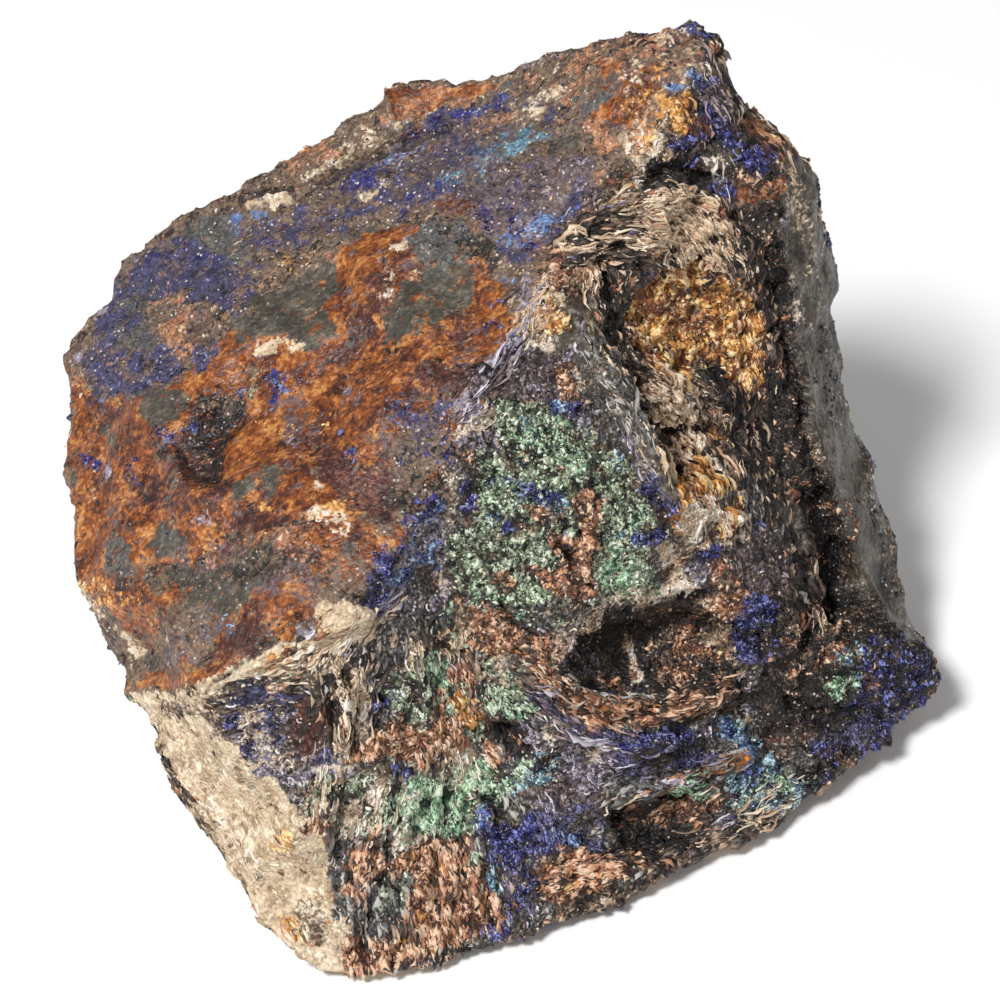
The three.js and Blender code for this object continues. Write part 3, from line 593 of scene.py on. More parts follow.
     462,745, 440,765, 415,760, 385,752, 362,758, 350,752, 366,740)),
    ("green", (0.3, 0, 385,850, 470,845, 480,900, 440,950, 380,960), (0.4, 14, 320,800, 360,790),
     (0.5, 12, 400,690, 410,710)),
    ("slate", (0.7, 0, 612,782, 660,775, 700,775, 690,792, 640,800, 612,808), (0.7, 14, 350,915,
     372,935), (0.45, 0, 580,345, 600,325, 618,345, 638,395, 652,440, 640,440, 604,402)),
    ("lilac", (0.6, 0, 560,722, 600,735, 622,748, 618,780, 600,800, 575,796, 562,770), (0.4, 12,
     520,720, 560,760), (0.35, 4, 822,300, 835,380, 850,460, 868,540), (0.4, 10, 470,440, 460,400),
     (0.4, 8, 410,820, 430,835), (0.5, 10, 465,400, 480,420, 490,440, 465,440)),
    ("dark", (0.95, 0, 605,806, 630,800, 652,790, 672,800, 702,790, 720,800, 700,840, 662,862,
     630,855, 615,842, 607,825), (0.6, 5, 485,735, 520,742), (0.35, 6, 822,330, 832,420, 850,520),
     (0.8, 4, 485,735, 515,728), (0.8, 4, 376,660, 388,678), (0.75, 5, 545,765, 560,750)),
    ("rust", (0.8, 9, 640,822), (0.8, 8, 660,785, 690,782), (0.85, 0, 345,871, 355,850, 365,830,
     376,824, 383,840, 386,862, 376,876, 360,873), (0.5, 8, 440,690, 436,712)),
    ("schist", (0.9, 8, 200,690, 240,672, 280,655, 310,645, 345,640, 370,628), (0.7, 6, 364,190,
     382,182), (0.6, 10, 338,952, 345,930), (0.45, 4, 838,300, 846,380, 862,460, 880,540,
     895,590)),
    ("azurite", (0.7, 4, 620,742, 655,738, 688,732), (0.7, 8, 400,185, 432,178), (0.7, 8, 375,610,
     372,580, 390,560), (0.8, 5, 366,712, 398,690)),
    ("cream", (0.8, 2.5, 600,815, 632,798), (0.8, 3, 330,650, 350,642, 372,628), (0.5, 10, 330,800,
     350,812), (0.35, 9, 465,432, 490,412), (0.35, 8, 465,435, 490,415)),
    ("brown", (0.8, 0, 560,905, 640,872, 700,840, 745,822, 740,835, 680,865, 600,905, 540,925),
     (0.6, 14, 235,305, 300,265, 330,245), (0.5, 8, 296,910, 318,940), (0.5, 8, 314,905, 320,940)),
    ("ochre", (0.6, 5, 265,668, 300,650), (0.4, 8, 290,262, 300,270), (0.5, 6, 455,702, 470,716)),
    ("red", (0.8, 4, 708,462, 712,480), (0.5, 8, 455,128, 485,120), (0.7, 0, 222,632, 245,612,
     285,615, 282,645, 240,660)),
    ("green", (0.6, 14, 490,680, 512,700), (0.5, 8, 392,690, 402,705), (0.5, 9, 465,732)),
    ("dark", (0.6, 8, 640,758, 665,760), (0.7, 3, 470,660, 480,690, 486,720), (0.4, 9, 400,712,
     420,705)),
    ("flame", (0.8, 7, 330,280, 345,262, 372,268), (0.7, 10, 265,590, 280,602)),
    ("red", (0.6, 8, 340,290, 350,320), (0.4, 12, 270,575, 315,580)),
    ("teal", (0.9, 0, 725,700, 745,700, 755,720, 762,745, 776,760, 801,776, 812,796, 800,822,
     770,820, 740,817, 730,800, 728,780, 744,765, 733,746, 720,732, 710,710), (0.8, 0, 436,180,
     450,158, 480,140, 520,125, 560,122, 556,136, 520,150, 480,175, 450,186)),
    ("sky", (0.45, 9, 450,170, 500,142), (0.7, 6, 487,812, 482,822), (0.85, 5, 390,582, 415,566,
     440,545)),
    ("cream", (0.7, 5, 772,792, 796,774), (0.6, 4, 755,815, 790,812), (0.35, 0, 200,700, 250,672,
     330,645, 335,672, 262,690, 215,712), (0.5, 6, 440,560, 447,600)),
    ("mica", (0.8, 8, 745,700, 748,716), (0.5, 3, 600,340, 615,370, 640,420, 660,465), (0.5, 0,
     328,662, 352,664, 374,690, 374,730, 352,762, 332,757, 338,712), (0.4, 9, 262,668, 300,662,
     325,655)),
    ("dark", (0.6, 8, 690,690, 720,700, 735,720), (0.8, 3, 370,650, 380,675, 376,700), (0.45, 12,
     612,312, 638,332, 628,360), (0.5, 12, 600,290, 618,318, 620,350), (0.4, 8, 395,685, 415,690),
     (0.6, 8, 618,318, 628,350, 645,375)),
    ("mint", (0.7, 6, 775,775, 790,790), (0.75, 0, 405,782, 440,778, 468,795, 470,832, 450,838,
     420,830, 402,805), (0.45, 9, 445,680, 465,690)),
    ("cream", (0.45, 12, 380,775, 400,790), (0.45, 3, 340,668, 362,690, 366,722, 350,750),
     (0.45, 4, 470,770, 480,790, 476,815), (0.4, 12, 440,755, 462,765, 455,785), (0.3, 8, 465,740,
     468,760)),
    ("lilac", (0.6, 6, 520,140, 552,130), (0.4, 9, 415,560, 440,540)),
    ("olive", (0.8, 7, 630,604, 660,596, 684,582), (0.7, 10, 560,150, 578,138)),
    ("brown", (0.6, 0, 660,604, 700,600, 712,640, 700,690, 664,680), (0.5, 8, 192,690, 212,708),
     (0.6, 9, 165,705, 190,712)),
    ("rust", (0.5, 10, 690,625, 696,660), (0.8, 14, 708,650, 718,672), (0.6, 10, 728,585, 722,615),
     (0.8, 9, 545,684, 565,698, 600,710, 650,712, 690,700), (0.7, 9, 700,640, 715,670), (0.5, 12,
     720,570, 735,600)),
    ("cream", (0.5, 3, 620,690, 660,694), (0.35, 9, 600,608, 640,594, 685,588), (0.45, 9, 640,605,
     665,588, 690,584)),
    ("plum", (0.9, 7, 735,795), (0.4, 22, 200,620, 180,650), (0.5, 20, 500,200, 560,175)),
    ("violet", (0.55, 0, 230,690, 262,684, 300,700, 292,720, 286,755, 262,765, 240,745, 226,725),
     (0.6, 0, 120,262, 190,232, 240,262, 262,290, 235,318, 210,300, 190,290, 150,300, 150,330,
     200,352, 150,392, 100,400, 88,360)),
    ("dark", (0.5, 4, 262,700, 285,690, 320,690), (0.5, 6, 560,660, 575,690), (0.7, 3, 352,700,
     346,735)),
    ("slate", (0.8, 6, 615,880, 630,876), (0.4, 0, 118,300, 150,280, 180,310, 150,352, 112,352),
     (0.5, 9, 592,372, 612,405, 628,430)),
    ("rust", (0.9, 8, 714,800), (0.8, 7, 660,830, 700,810), (0.6, 8, 530,660, 560,690, 600,706),
     (0.7, 10, 480,640, 530,655, 560,690), (0.7, 0, 448,600, 506,612, 520,640, 475,638)),
    ("cream", (0.5, 5, 500,668, 512,690), (0.4, 6, 342,655, 365,685, 366,712), (0.25, 4, 596,372,
     622,415, 640,445)),
    ("mica", (0.3, 8, 575,640, 600,625), (0.5, 10, 415,640, 445,648, 465,632, 460,612), (0.45, 9,
     395,640, 415,660)),
    ("azurite", (0.6, 5, 725,815, 750,822), (0.5, 6, 455,160, 490,138), (0.6, 6, 150,262, 190,250,
     214,262)),
    ("lilac", (0.35, 24, 400,140, 480,150), (0.4, 14, 560,190, 590,165), (0.4, 10, 395,590,
     415,610, 440,600)),
    ("mint", (0.8, 0, 670,782, 712,780, 705,800, 672,800), (0.4, 10, 445,775)),
    ("schist", (0.8, 12, 328,612, 345,622), (0.6, 12, 518,114, 555,96)),
    ("amber", (0.5, 20, 140,620, 170,600), (0.6, 5, 735,112, 760,128)),
    ("dark", (0.6, 14, 600,855, 640,850, 690,835), (0.4, 8, 720,110, 740,135), (0.35, 12, 335,570,
     342,600)),
    ("violet", (0.45, 0, 545,800, 600,800, 606,850, 560,860, 545,900, 500,930, 490,880, 520,850),
     (0.6, 6, 560,212, 590,195, 600,180), (0.36, 0, 232,240, 300,200, 372,160, 440,120, 520,92,
     560,88, 560,130, 520,190, 470,222, 430,212, 390,212, 330,228, 280,262)),
    ("azurite", (0.6, 6, 520,890, 505,930), (0.7, 6, 420,132, 450,118, 506,100), (0.7, 7, 350,184,
     372,176), (0.7, 6, 414,194, 446,184), (0.6, 5, 480,212, 530,200)),
    ("sky", (0.5, 5, 560,835, 580,842), (0.4, 9, 375,165, 395,160, 400,180), (0.35, 9, 418,545,
     440,560)),
    ("lilac", (0.7, 8, 305,625, 312,632), (0.5, 8, 640,785, 670,780), (0.3, 9, 385,150, 415,150),
     (0.4, 9, 540,800, 560,830), (0.45, 9, 415,560, 440,545)),
    ("teal", (0.6, 0, 700,700, 728,695, 752,735, 745,745, 720,732), (0.7, 6, 497,870, 492,910),
     (0.45, 6, 512,140, 540,132)),
    ("cream", (0.3, 8, 378,158, 400,165), (0.3, 8, 440,780, 440,810)),
    ("dark", (0.5, 9, 425,222, 465,240, 490,255), (0.4, 8, 640,800, 665,790), (0.45, 10, 440,240,
     490,256)),
    ("rust", (0.7, 12, 560,875, 600,880), (0.8, 0, 540,855, 580,848, 605,862, 640,850, 625,872,
     600,890, 560,902, 540,895), (0.5, 7, 476,128, 520,112)),
    ("slate", (0.5, 12, 585,100, 610,85), (0.5, 8, 420,630, 465,612)),
    ("red", (0.6, 12, 305,720, 308,745), (0.6, 6, 612,178, 622,190)),
    ("lilac", (0.7, 8, 742,682, 748,706), (0.4, 12, 245,735, 270,745, 290,715)),
    ("dark", (0.92, 0, 800,612, 845,605, 860,622, 850,660, 870,700, 900,706, 880,740, 845,765,
     800,800, 812,760, 820,715, 775,716, 755,690, 770,664, 795,650), (0.5, 0, 858,636, 940,640,
     940,690, 870,745, 830,770, 840,720), (0.6, 8, 800,690, 830,720), (0.4, 8, 620,862, 645,866),
     (0.5, 9, 612,860, 645,858)),
    ("cream", (0.3, 12, 250,722, 265,755, 290,745), (0.35, 12, 245,715, 285,708), (0.4, 9, 265,760,
     290,765), (0.35, 10, 240,735, 265,740)),
    ("red", (0.8, 0, 762,728, 800,718, 812,735, 790,750, 765,745)),
    ("slate", (0.6, 10, 800,760, 815,785), (0.6, 6, 780,510, 788,560, 800,600)),
    ("azurite", (0.7, 8, 470,905, 492,935), (0.55, 0, 868,630, 895,630, 915,648, 932,655, 940,675,
     932,702, 900,727, 870,747, 842,765, 815,792, 822,745, 858,705, 850,680, 862,655)),
    ("rust", (0.85, 0, 400,852, 430,840, 468,842, 476,880, 496,900, 510,915, 470,930, 425,945,
     395,930, 420,890), (0.8, 0, 345,935, 420,948, 480,930, 500,925, 440,955, 350,985, 342,965)),
    ("dark", (0.6, 10, 760,700, 780,720), (0.5, 0, 880,640, 940,660, 935,705, 880,735, 830,780,
     835,740, 870,700), (0.35, 12, 440,885, 490,865), (0.5, 8, 392,935, 415,930), (0.4, 9,
     465,860)),
    ("cream", (0.3, 8, 392,845, 415,850), (0.35, 10, 375,850, 392,838, 412,842)),
    ("ochre", (0.7, 10, 690,470, 705,488)),
    ("mica", (0.5, 9, 465,610, 465,635)),
    ("schist", (0.6, 7, 118,632, 140,650)),
    ("quartz", (0.75, 0, 832,425, 862,425, 875,470, 888,540, 902,600, 915,632, 880,628, 862,600,
     850,530, 838,470)),
    ("mica", (0.5, 3, 868,475, 878,530, 888,580, 905,625), (0.45, 3, 812,430, 830,520, 848,590,
     860,625)),
    ("dark", (0.6, 2, 862,440, 872,500, 880,550), (0.4, 0, 748,240, 790,240, 802,480, 835,560,
     850,612, 800,640, 770,600, 775,540, 760,440, 765,330), (0.4, 10, 740,480, 765,462), (0.55, 9,
     765,470, 768,500), (0.5, 8, 718,238, 742,262), (0.5, 10, 765,480, 768,500), (0.45, 10,
     765,365, 770,385)),
    ("amber", (0.6, 14, 640,70, 660,95)),
    ("rust", (0.5, 4, 850,500, 856,540)),
    ("ochre", (0.6, 10, 650,120, 640,150)),
    ("green", (0.5, 10, 330,790, 372,785)),
    ("cream", (0.4, 8, 318,800, 350,815, 372,800), (0.5, 4, 384,768, 402,778, 412,800)),
    ("dark", (0.6, 5, 650,168, 690,178), (0.4, 10, 335,800, 365,812), (0.5, 9, 312,790), (0.5, 9,
     388,765, 395,785)),
    ("mica", (0.45, 0, 622,90, 650,62, 680,45, 698,52, 692,90, 668,108, 660,130, 640,150,
     622,158)),
    ("sky", (0.7, 8, 728,728, 738,738), (0.85, 6, 690,74, 702,80)),
    ("cream", (0.5, 6, 622,140, 632,158), (0.6, 5, 690,60, 702,64), (0.35, 7, 642,162, 640,186)),
    ("amber", (0.8, 5, 702,776, 722,770, 742,750)),
    ("ochre", (0.6, 10, 630,110, 655,90, 662,72)),
    ("cream", (0.35, 7, 640,62, 636,88), (0.3, 8, 618,90, 640,65)),
    ("sky", (0.6, 7, 742,752, 752,770), (0.8, 4, 662,84, 676,90)),
    ("azurite", (0.6, 5, 755,756, 740,775), (0.8, 5, 704,84, 714,82)),
    # painted shade: these dark rows darken the knob and the slot beside it on the shaded right,
    # over their own dark azurite
    ("dark", (0.35, 0, 760,700, 800,690, 850,720, 830,790, 760,830, 740,790, 760,740), (0.75, 0,
     780,590, 860,585, 885,620, 935,652, 938,685, 915,712, 870,735, 845,700, 830,672, 800,690,
     775,650), (0.4, 10, 745,612, 760,632), (0.5, 9, 790,685, 815,680), (0.6, 9, 842,590, 845,615),
     (0.6, 0, 770,605, 860,590, 885,620, 905,700, 870,738, 800,718, 775,690, 760,650)),
    ("mica", (0.45, 7, 740,815, 765,830), (0.6, 4, 800,668, 818,645, 842,618)),
    ("lilac", (0.5, 6, 700,735, 715,715)),
    ("azurite", (0.7, 4, 640,742, 690,735), (0.55, 0, 862,640, 895,632, 930,655, 938,680, 920,708,
     880,735, 850,720, 858,690)),
    ("dark", (0.7, 8, 640,760, 672,758), (0.7, 9, 716,682, 742,690, 735,712), (0.5, 0, 868,640,
     895,632, 932,655, 940,682, 920,708, 880,738, 850,745, 820,775, 812,760, 850,715, 862,690)),
    ("rust", (0.8, 7, 545,686, 570,702, 610,714, 660,714, 700,704), (0.6, 9, 598,128, 608,148)),
    ("mint", (0.7, 4, 545,700, 524,712), (0.6, 6, 505,700, 520,716), (0.85, 8, 834,690, 856,678)),
    ("violet", (0.6, 6, 535,702, 570,720, 600,735), (0.7, 5, 606,120, 618,132), (0.6, 10, 815,750,
     850,735, 880,722)),
    ("cream", (0.6, 8, 590,760, 605,745), (0.5, 3, 500,655, 530,668, 560,700), (0.35, 8, 565,690,
     590,690)),
    ("dark", (0.75, 12, 712,668, 738,688, 716,710), (0.6, 10, 700,655, 728,672, 722,700)),
    ("rust", (0.6, 6, 575,718, 620,725, 670,718), (0.5, 8, 565,712, 590,705)),
    ("red", (0.6, 6, 668,42, 690,38)),
    ("ochre", (0.8, 9, 665,105, 690,100)),
    ("teal", (0.75, 6, 838,658, 860,650)),
    ("rust", (0.6, 4, 808,676, 836,648, 856,628), (0.8, 6, 796,676)),
    ("red", (0.5, 10, 690,112, 700,136)),
    ("dark", (0.5, 7, 840,600, 843,620)),
    ("slate", (0.5, 4, 872,500, 885,560, 898,600)),
]
print("strokes:", sum(len(strokes) for mineral, *strokes in PLACES))

# %% A drift that keeps edges from being ruler straight
noise.seed_set(5)  # without a seed of its own, the drift would follow the clock


def wander(points, size, reach):
    """A seeded drift of places, with lumps of a size in mm and a reach in steps."""
    drift = [noise.noise_vector(Vector(point) / size)[:2] for point in points]
    return np.array(drift) * reach


print("drift of three points:", wander(points[:3], 3.0, 6.0).round(1).tolist())


# %% How an area or a stroke covers the mesh
def corners_of(numbers):
    """Pairs of right and down from a flat run of numbers."""
    return list(zip(numbers[0::2], numbers[1::2]))


def far_from_line(places, corners, closed):
    """The distance of each place to a line through corners."""
    ends = corners[1:] + corners[:1] if closed else corners[1:] or corners
    nearest = np.full(len(places), 1e9)
    for start, end in zip(corners, ends):
        start, along = np.array(start), np.subtract(end, start)
        length = max(float(along @ along), 1e-9)
        share = np.clip((places - start) @ along / length, 0, 1)
        gap = places - start - share[:, None] * along
        nearest = np.minimum(nearest, np.hypot(gap[:, 0], gap[:, 1]))
    return nearest


def inside_area(places, corners):
    """True where a place is inside the outline through corners."""
    odd = np.zeros(len(places), dtype=bool)
    for (x1, y1), (x2, y2) in zip(corners, corners[1:] + corners[:1]):
        if y1 != y2:
            across = (y1 > places[:, 1]) != (y2 > places[:, 1])
            edge = x1 + (places[:, 1] - y1) * (x2 - x1) / (y2 - y1)
            odd ^= across & (places[:, 0] < edge)
    return odd


def cover(places, width, numbers, soft):
    """How far an area (width 0) or a stroke covers each place, from 0 to 1."""
    corners = corners_of(numbers)
    low = np.min(corners, axis=0) - width - soft
    high = np.max(corners, axis=0) + width + soft
    near = np.flatnonzero(((places > low) & (places < high)).all(axis=1))
    share = np.zeros(len(places))
    spots = places[near]
    gap = far_from_line(spots, corners, closed=width == 0)
    if width == 0:
        gap = np.where(inside_area(spots, corners), -gap, gap)
    share[near] = smooth(soft, -soft, gap - width)
    return share


def lay(shares, mineral, amount):
    """Lays a mineral over the others."""
    shares *= 1 - amount[:, None]
    shares[:, MINERALS.index(mineral)] += amount


across_an_edge = np.array([(96.0, 50.0), (100.0, 50.0), (104.0, 50.0)])
print("cover:", cover(across_an_edge, 0, (0, 0, 100, 0, 100, 100, 0, 100), 8).round(2))

# %% [markdown]
# ## The sides that the front hides
#
# The back, the ends and the underside are the same broken schist. They get bands
# and clouds of the same minerals from seeded noise: mostly brown and cream schist
# with grey quartz, rusty stains, and a little azurite and malachite where cracks
# run through. `seen` fades between the two, so no seam shows.

# %% Clouds of minerals for the hidden sides
def clouds(points, size, seed, stretch=(1, 1, 1), octaves=4):
    """Seeded noise of about -1 to 1, in lumps of a size in millimetres."""
    at = points / (size * np.array(stretch)) + seed * 17.3
    return np.array([noise.fractal(point, 0.8, 2.0, octaves) for point in at.tolist()])


HIDDEN = [  # mineral, lump size in mm, least noise that shows it, softness, strength
    ("schist", 16, 0.05, 0.18, 0.9),
    ("plum", 11, 0.22, 0.15, 0.7),
    ("olive", 9, 0.25, 0.12, 0.8),
    ("amber", 14, 0.12, 0.2, 0.8),
    ("rust", 9, 0.28, 0.12, 0.8),
    ("quartz", 15, 0.34, 0.08, 0.9),
    ("mica", 6, 0.34, 0.1, 0.7),
    ("violet", 12, 0.40, 0.12, 0.8),
    ("azurite", 7, 0.46, 0.08, 0.9),
    ("green", 8, 0.46, 0.1, 0.8),
    ("dark", 4, 0.42, 0.1, 0.8),
]
print("clouds at three points:", clouds(points[:3], 16, 0).round(2))


# %% Specks of one mineral in another
# specks of "dark" are partly painted shade in the gaps between grains
SPECKS = {  # host: mineral in it, lump size in mm, least noise that shows it, softness, strength
    "amber": [("red", 5.0, 0.05, 0.3, 0.75), ("flame", 4.0, 0.15, 0.2, 0.6),
        ("plum", 1.3, 0.42, 0.12, 0.6), ("ochre", 1.6, 0.35, 0.15, 0.5),
        ("violet", 1.0, 0.5, 0.1, 0.7), ("dark", 1.5, 0.42, 0.1, 0.7)],
    "red": [("dark", 1.8, 0.15, 0.25, 0.7), ("plum", 1.2, 0.3, 0.15, 0.6)],
    "brown": [("dark", 1.5, 0.05, 0.2, 0.8), ("mica", 1.3, 0.35, 0.2, 0.6),
        ("rust", 2.2, 0.25, 0.2, 0.7), ("violet", 1.6, 0.35, 0.15, 0.7),
        ("cream", 0.8, 0.4, 0.1, 0.7)],
    "green": [("dark", 1.0, 0.08, 0.15, 0.8), ("brown", 2.0, 0.25, 0.2, 0.7),
        ("teal", 2.4, 0.35, 0.2, 0.5), ("cream", 0.9, 0.35, 0.15, 0.6)],
    "mint": [("dark", 1.1, 0.25, 0.15, 0.8), ("green", 1.6, 0.0, 0.3, 0.7)],
    "rust": [("dark", 1.2, 0.2, 0.15, 0.7), ("brown", 2.0, 0.2, 0.2, 0.7),
        ("ochre", 1.6, 0.3, 0.2, 0.6), ("cream", 0.8, 0.45, 0.1, 0.6)],
    "ochre": [("rust", 1.5, 0.15, 0.2, 0.7), ("dark", 1.2, 0.3, 0.15, 0.7)],
    "violet": [("dark", 1.4, 0.15, 0.2, 0.6), ("azurite", 1.2, 0.3, 0.2, 0.5),
        ("plum", 1.8, 0.1, 0.25, 0.7), ("lilac", 0.9, 0.35, 0.15, 0.7)],
    "azurite": [("dark", 1.2, 0.2, 0.2, 0.7), ("violet", 1.6, 0.1, 0.25, 0.7),
        ("sky", 0.9, 0.4, 0.15, 0.6)],
    "plum": [("dark", 1.3, 0.15, 0.2, 0.7), ("lilac", 1.0, 0.2, 0.2, 0.6)],
    "slate": [("dark", 1.4, 0.1, 0.25, 0.6), ("brown", 1.6, 0.35, 0.2, 0.5)],
    "olive": [("brown", 1.5, 0.3, 0.2, 0.5), ("slate", 2.0, 0.2, 0.3, 0.5)],
    "mica": [("dark", 1.0, 0.15, 0.2, 0.8), ("rust", 1.6, 0.3, 0.2, 0.6)],
    "lilac": [("dark", 0.9, 0.2, 0.2, 0.7)],
    "schist": [("mica", 1.4, 0.3, 0.2, 0.5), ("amber", 2.5, 0.5, 0.15, 0.5)],
    "sky": [("azurite", 1.0, 0.1, 0.2, 0.6), ("lilac", 0.8, 0.2, 0.15, 0.5),
        ("teal", 1.6, 0.15, 0.2, 0.5)],
    "teal": [("sky", 1.2, 0.15, 0.2, 0.5), ("green", 1.5, 0.05, 0.25, 0.6)],
    "dark": [("brown", 1.2, 0.2, 0.25, 0.5), ("rust", 1.4, 0.4, 0.15, 0.5),
        ("mica", 0.9, 0.45, 0.12, 0.5)],
}
FIRST_SPECK_SEED = 20
print("hosts of specks:", len(SPECKS))


def scatter_specks(points, shares):
    """Breaks every mineral up with specks and threads of its neighbours."""
    rows = [(host, *speck) for host, specks in SPECKS.items() for speck in specks]
    for seed, (host, mineral, size, least, soft, strength) in enumerate(rows, FIRST_SPECK_SEED):
        within = shares[:, MINERALS.index(host)]
        near = np.flatnonzero(within > 0.06)
        lumps = clouds(points[near], size, seed, octaves=3)
        amount = 0.8 * within[near] * strength * smooth(least - soft, least + soft, lumps)
        shares[near, MINERALS.index(host)] -= amount
        shares[near, MINERALS.index(mineral)] += amount


# %% Shares of the minerals on the rock
EDGE = 4.0  # softness of an edge, in steps of the view
LAYERS_STRETCH = (1.6, 1.0, 0.7)
SOLID = ("amber", "schist", "quartz", "violet")  # areas of these stay whole
UPPER_FACE = (  # the broad smooth face and the strip above it
    30,340, 100,200, 400,40, 690,0, 700,90, 640,150, 600,190, 560,232, 520,325, 465,398,
    445,470, 400,555, 365,600, 290,640, 205,686, 110,720,
)


def on_upper_face(points):
    """1 on the broad smooth face, fading over its edge."""
    return cover(in_view(points), 0, UPPER_FACE, 12)


def plain_stone(points):
    """The shares to begin with: all of the first mineral."""
    shares = np.zeros((len(points), len(MINERALS)))
    shares[:, 0] = 1
    return shares


def hidden_shares(points):
    """Clouds of minerals for the sides that the front hides."""
    shares = plain_stone(points)
    for seed, (mineral, size, least, soft, strength) in enumerate(HIDDEN):
        lumps = clouds(points, size, seed, stretch=LAYERS_STRETCH)
        lay(shares, mineral, strength * smooth(least - soft, least + soft, lumps))
    return shares


def front_shares(points, upper):
    """The strokes of the front, thinned in patches on its broad smooth face."""
    places = in_view(points) + wander(points, 3.0, 6.0) + wander(points, 0.9, 6.0)
    shares = plain_stone(points)
    patchy = [np.clip(0.72 + 0.55 * clouds(points, 1.3, seed), 0.25, 1) for seed in (3, 4, 5)]
    for mineral, *strokes in PLACES:
        thinned = 1 - upper * (1 - patchy[MINERALS.index(mineral) % 3])
        for strength, width, *numbers in strokes:
            broken = 1 if width == 0 and mineral in SOLID else thinned
            lay(shares, mineral, strength * broken * cover(places, width, numbers, EDGE))
    return shares


points = points_of(rock)
seen = turned_to_camera(points, normals_of(rock))
upper = seen * on_upper_face(points)
shares = front_shares(points, upper) * seen[:, None] + hidden_shares(points) * (1 - seen[:, None])
scatter_specks(points, shares)
for mineral, share in zip(MINERALS, shares.mean(axis=0)):
    print(f"{mineral:8} {share:6.1%}")


def share_of(*minerals):
    """The share of some minerals together, at each point."""
    return sum(shares[:, MINERALS.index(mineral)] for mineral in minerals)

# %% [markdown]
# ## Relief
#
# Weathering gives each mineral its own surface: iron stain is nearly smooth, the
# crusts are lumpy, mica lies in curled ridges, quartz is fluted along its length
# and the rim splits in thin layers. Each kind is a Displace modifier with its own
# texture, weighted by a vertex group, and an empty turns and stretches its pattern.
# Long ridges and hollows come first, painted like the minerals, but in millimetres.

